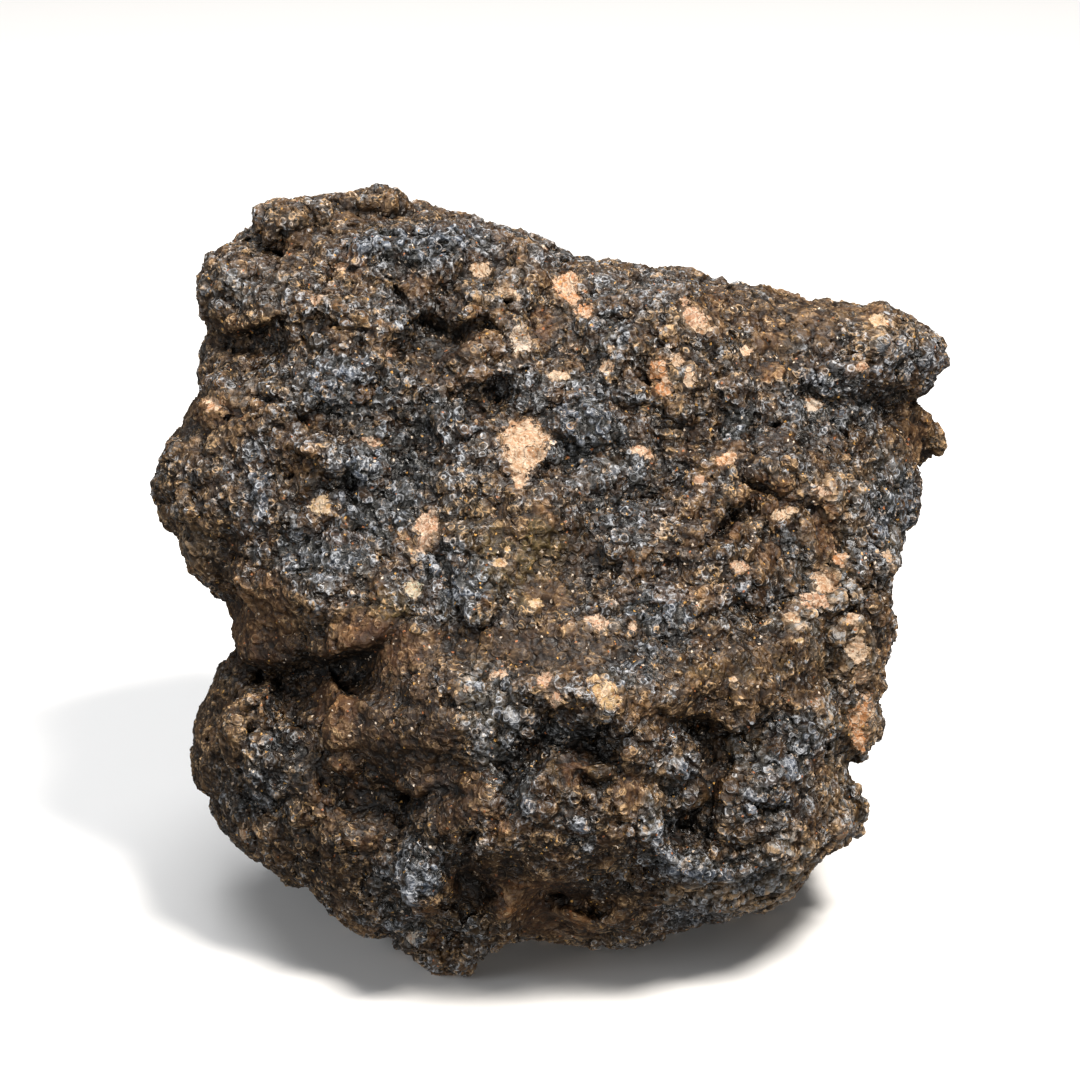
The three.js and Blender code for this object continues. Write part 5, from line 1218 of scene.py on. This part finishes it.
    # crests are lighter and pits and hollows darker: partly wear and dirt, partly painted light on the crests and
    # painted shade in the pits
    tone = math_("ADD", math_("MULTIPLY", crest, 0.50), math_("MULTIPLY", bowl, 0.30)); tone = math_("ADD", tone, math_("MULTIPLY", math_("SUBTRACT", nf, 0.5), 0.18)); tone = math_("ADD", tone, math_("MULTIPLY", math_("SUBTRACT", f2[1], 0.5), 0.24))
    tone = math_("SUBTRACT", tone, math_("MULTIPLY", math_("MULTIPLY", in2, curly), 0.10))
    # painted shade in the gaps between the flakes
    gap_shade = math_("ADD", math_("MULTIPLY", gap1, 0.46), math_("MULTIPLY", gap2, 0.34)); gap_shade = math_("MULTIPLY", gap_shade, math_("ADD", 0.25, math_("MULTIPLY", curly, 0.75)))
    value = rampf(tone, [(0.18, 0.14), (0.32, 0.38), (0.42, 0.76), (0.52, 1.16), (0.64, 1.65), (0.80, 2.4)])
    # painted shade: darker where the surface lies enclosed in a hollow
    value = math_("MULTIPLY", value, rampf(deep, [(0.0, 0.12), (0.35, 0.38), (0.62, 0.80), (0.80, 1.10), (1.0, 1.50)]))
    # painted shade: darker over the dark patches listed above
    value = math_("MULTIPLY", value, math_("SUBTRACT", 1.0, math_("MULTIPLY", zone(dark, 0.1, 0.95, 0.3), 0.80)))
    value = math_("MULTIPLY", value, math_("SUBTRACT", 1.12, gap_shade)); value = math_("MULTIPLY", value, math_("ADD", 0.84, math_("MULTIPLY", f0[1], 0.32)))
    vm = node("ShaderNodeVectorMath", operation="SCALE"); L(c, vm.inputs[0]); L(value, vm.inputs["Scale"]); c = vm.outputs[0]
    # darker tones, the painted shade among them, are tinted warm brown
    warm = node("ShaderNodeVectorMath", operation="MULTIPLY"); L(c, warm.inputs[0]); L(mix(rampf(value, [(0.20, 1.0), (0.85, 0.0)]), (1.0, 1.0, 1.0), (1.20, 0.92, 0.52)), warm.inputs[1]); c = warm.outputs[0]
    # thin pale rims of the flakes, partly a painted highlight for glints, brighter on crests
    rim = math_("ADD", math_("MULTIPLY", l1, math_("ADD", 0.40, math_("MULTIPLY", f1[1], 1.2))), math_("MULTIPLY", l2, math_("ADD", 0.10, math_("MULTIPLY", f2[1], 1.5))))
    rim = math_("ADD", rim, math_("MULTIPLY", l3, math_("MULTIPLY", f1[0], 1.0)))
    rim = math_("MULTIPLY", rim, rampf(nz, [(0.36, 0.10), (0.48, 1.0)]))
    rim = math_("MULTIPLY", rim, rampf(crest, [(0.25, 0.35), (0.55, 0.85), (0.80, 1.1)]))
    rim = math_("MULTIPLY", rim, math_("ADD", 0.35, math_("MULTIPLY", curly, 0.65)), clamp=True)
    warmth = math_("ADD", math_("SUBTRACT", math_("MULTIPLY", math_("ADD", rust, patina), 0.30), math_("MULTIPLY", blue, 0.22)), math_("ADD", math_("MULTIPLY", gb, 0.35), math_("MULTIPLY", noise(0.6, 2), 0.65)))
    rim_glint_colour = mix(rampf(warmth, [(0.42, 0.0), (0.58, 1.0)]), (0.295, 0.307, 0.328), (0.370, 0.240, 0.125))
    vr = node("ShaderNodeVectorMath", operation="SCALE"); L(rim_glint_colour, vr.inputs[0]); L(rampf(value, [(0.0, 0.12), (0.5, 0.55), (1.0, 0.90), (2.0, 1.15)]), vr.inputs["Scale"])
    c = mix(math_("MULTIPLY", rim, 0.82), c, vr.outputs[0])

    hue = attr("hue")
    pale = ramp(hue, [(0.0, (0.320, 0.205, 0.122)), (1 / 7, (0.300, 0.175, 0.110)), (2 / 7, (0.340, 0.245, 0.160)), (3 / 7, (0.330, 0.145, 0.055)), (4 / 7, (0.30, 0.285, 0.255)), (5 / 7, (0.320, 0.220, 0.100)), (6 / 7, (0.25, 0.27, 0.20))], "CONSTANT")
    veins = math_("MULTIPLY", math_("ADD", l2, rampf(nf, [(0.40, 1.0), (0.50, 0.0)]), clamp=True), 0.60)
    pale = mix(veins, pale, (0.25, 0.115, 0.050))
    pale = mix(rampf(math_("ADD", math_("MULTIPLY", f2[1], 0.5), math_("MULTIPLY", nz, 0.5)), [(0.50, 0.0), (0.75, 0.6)]), pale, (0.43, 0.325, 0.235))
    # the clasts' low spots are darker brown, as painted shade
    pale = mix(rampf(math_("ADD", math_("MULTIPLY", crest, 0.7), math_("MULTIPLY", nf, 0.5)), [(0.36, 0.85), (0.50, 0.0)]), pale, (0.09, 0.050, 0.027))
    ragged = math_("ADD", math_("MULTIPLY", nf, 0.7), math_("MULTIPLY", nz, 1.0)); ragged = math_("ADD", ragged, math_("MULTIPLY", math_("SUBTRACT", 0.5, bowl), 0.4)); ragged = math_("ADD", ragged, math_("MULTIPLY", f2[1], 0.50)); ragged = math_("SUBTRACT", ragged, math_("MULTIPLY", l1, 0.25))
    clast = rampf(math_("ADD", attr("clast"), math_("MULTIPLY", math_("SUBTRACT", ragged, 1.10), 1.1)), [(0.48, 0.0), (0.52, 1.0)])
    # inside, streaks of orange brown and cream; around it the crust is stained and dusted
    pale = mix(rampf(noise(0.85, 2, 0.65, bent), [(0.50, 0.0), (0.62, 0.70)]), pale, (0.215, 0.100, 0.038))
    pale = mix(math_("MULTIPLY", math_("MAXIMUM", l1, l3), 0.60), pale, (0.52, 0.43, 0.33))
    stain = rampf(math_("ADD", attr("clast"), math_("MULTIPLY", math_("SUBTRACT", ragged, 1.10), 0.9)), [(0.16, 0.0), (0.46, 1.0)])
    c = mix(math_("MULTIPLY", stain, math_("MULTIPLY", rampf(nz, [(0.40, 0.25), (0.60, 1.0)]), 0.62)), c, mix(rampf(nf, [(0.42, 0.0), (0.58, 1.0)]), (0.070, 0.036, 0.016), (0.200, 0.132, 0.078)))
    c = mix(clast, c, pale)
    # golden, white and rusty specks
    sp = node("ShaderNodeTexVoronoi", feature="F1"); L(bent, sp.inputs["Vector"]); sp.inputs["Scale"].default_value = 2.0
    s1, s2, s3 = (chan(sp.outputs["Color"], i) for i in range(3)); near = rampf(math_("ADD", sp.outputs["Distance"], math_("MULTIPLY", math_("SUBTRACT", nf, 0.5), 0.9)), [(0.20, 1.0), (0.27, 0.0)])
    golden = math_("ADD", s1, math_("MULTIPLY", math_("ADD", attr("olive"), math_("MULTIPLY", patina, 0.5)), 0.030))
    c = mix(math_("MULTIPLY", rampf(golden, [(0.965, 0.0), (0.970, 1.0)]), near), c, (0.40, 0.22, 0.06))
    c = mix(math_("MULTIPLY", rampf(s2, [(0.960, 0.0), (0.965, 1.0)]), near), c, (0.46, 0.38, 0.30))
    c = mix(math_("MULTIPLY", rampf(math_("ADD", s3, math_("MULTIPLY", rust, 0.03)), [(0.970, 0.0), (0.975, 1.0)]), near), c, (0.26, 0.095, 0.035))

    rough = math_("ADD", 0.16, math_("MULTIPLY", f2[2], 0.20)); rough = math_("ADD", rough, math_("MULTIPLY", nf, 0.14)); rough = math_("ADD", rough, math_("MULTIPLY", math_("SUBTRACT", 1.0, curly), 0.12))
    rough = math_("ADD", rough, math_("MULTIPLY", smooth, 0.08)); rough = math_("ADD", rough, math_("MULTIPLY", clast, 0.22)); rough = math_("ADD", rough, math_("MULTIPLY", rust, 0.10), clamp=True)
    bsdf = node("ShaderNodeBsdfPrincipled"); L(c, bsdf.inputs["Base Color"]); L(rough, bsdf.inputs["Roughness"])
    bsdf.inputs["IOR"].default_value = 1.5; bsdf.inputs["Specular IOR Level"].default_value = 0.30
    # fine relief: flakes with raised rims half a millimetre across, and a grain of 0.15 mm
    hgt = math_("ADD", math_("MULTIPLY", l1, 1.0), math_("MULTIPLY", in1, 0.35)); hgt = math_("SUBTRACT", hgt, math_("MULTIPLY", gap1, 0.55)); hgt = math_("ADD", math_("MULTIPLY", hgt, 0.66), math_("MULTIPLY", nf, 0.38))
    hgt = math_("MULTIPLY", hgt, math_("SUBTRACT", 1.0, math_("MULTIPLY", smooth, 0.60)))
    bump = node("ShaderNodeBump"); bump.inputs["Strength"].default_value = 1.0; bump.inputs["Distance"].default_value = 0.00015 * fine; L(hgt, bump.inputs["Height"]); L(bump.outputs[0], bsdf.inputs["Normal"])
    out = node("ShaderNodeOutputMaterial"); L(bsdf.outputs[0], out.inputs["Surface"])
    return m


stone_material = crust("stone_crust", 1.0)
for ob in (*skins, *pieces):
    ob.data.materials.append(stone_material)
    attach(ob, "root"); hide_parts("stone")

# ------------------------------------------------------------------ floor, light and camera
def simple(name, colour, rough):
    m = bpy.data.materials.new(name); m.use_nodes = True; b = m.node_tree.nodes["Principled BSDF"]
    b.inputs["Base Color"].default_value = (*colour, 1); b.inputs["Roughness"].default_value = rough
    return m


fm = bpy.data.meshes.new("floor"); s = 6.0
fm.from_pydata([(-s, -s, 0), (s, -s, 0), (s, s, 0), (-s, s, 0)], [], [(0, 1, 2, 3)]); floor = bpy.data.objects.new("floor", fm); bpy.context.collection.objects.link(floor)
floor.data.materials.append(simple("floor", (0.80, 0.80, 0.80), 0.7)); floor.location.z = -0.00005
floor.visible_diffuse = False; floor.visible_glossy = False

world = bpy.data.worlds.new("studio"); bpy.context.scene.world = world; world.use_nodes = True
world.node_tree.nodes["Background"].inputs[0].default_value = (1.0, 1.0, 1.0, 1); world.node_tree.nodes["Background"].inputs[1].default_value = 0.155
middle = Vector((-ORIGIN[0], -ORIGIN[1], -ORIGIN[2])) / 1000


def softbox(name, place, size, watts, colour=(1, 1, 1)):
    l = bpy.data.lights.new(name, "AREA"); l.shape = "RECTANGLE"; l.size, l.size_y = size; l.energy = watts; l.color = colour
    o = bpy.data.objects.new(name, l); bpy.context.collection.objects.link(o); o.location = place
    o.rotation_euler = (middle - Vector(place)).to_track_quat("-Z", "Y").to_euler()


softbox("key", (0.20, -0.26, 0.55), (0.17, 0.13), 7.3, (1.0, 0.942, 0.872))
softbox("top", (-0.10, 0.10, 0.65), (0.50, 0.40), 4.2, (0.99, 0.99, 0.99))
softbox("left", (-0.55, -0.30, 0.25), (0.25, 0.40), 1.6, (0.96, 0.98, 1.0))
softbox("low", (0.14, -0.50, 0.03), (0.60, 0.10), 1.9, (1.0, 0.98, 0.95))

cam = bpy.data.cameras.new("camera"); camera = bpy.data.objects.new("camera", cam); bpy.context.collection.objects.link(camera)
cam.sensor_width = 36; cam.lens = 36 * EYE / (1080 / 9.8); cam.clip_start = 0.01; cam.clip_end = 30
back = Vector((0, -math.cos(LEAN), math.sin(LEAN)))
camera.location = middle + back * EYE / 1000; camera.rotation_mode = "QUATERNION"; camera.rotation_quaternion = (-back).to_track_quat("-Z", "Y")
bpy.context.scene.camera = camera
bpy.context.scene.view_settings.view_transform = "Standard"
# the crust is so dark that light hardly goes beyond its first bounce
bounces = bpy.context.scene.cycles; bounces.max_bounces = 1; bounces.diffuse_bounces = 1; bounces.glossy_bounces = 1; bounces.transmission_bounces = 0; bounces.volume_bounces = 0; bounces.transparent_max_bounces = 1

bpy.context.view_layer.update()
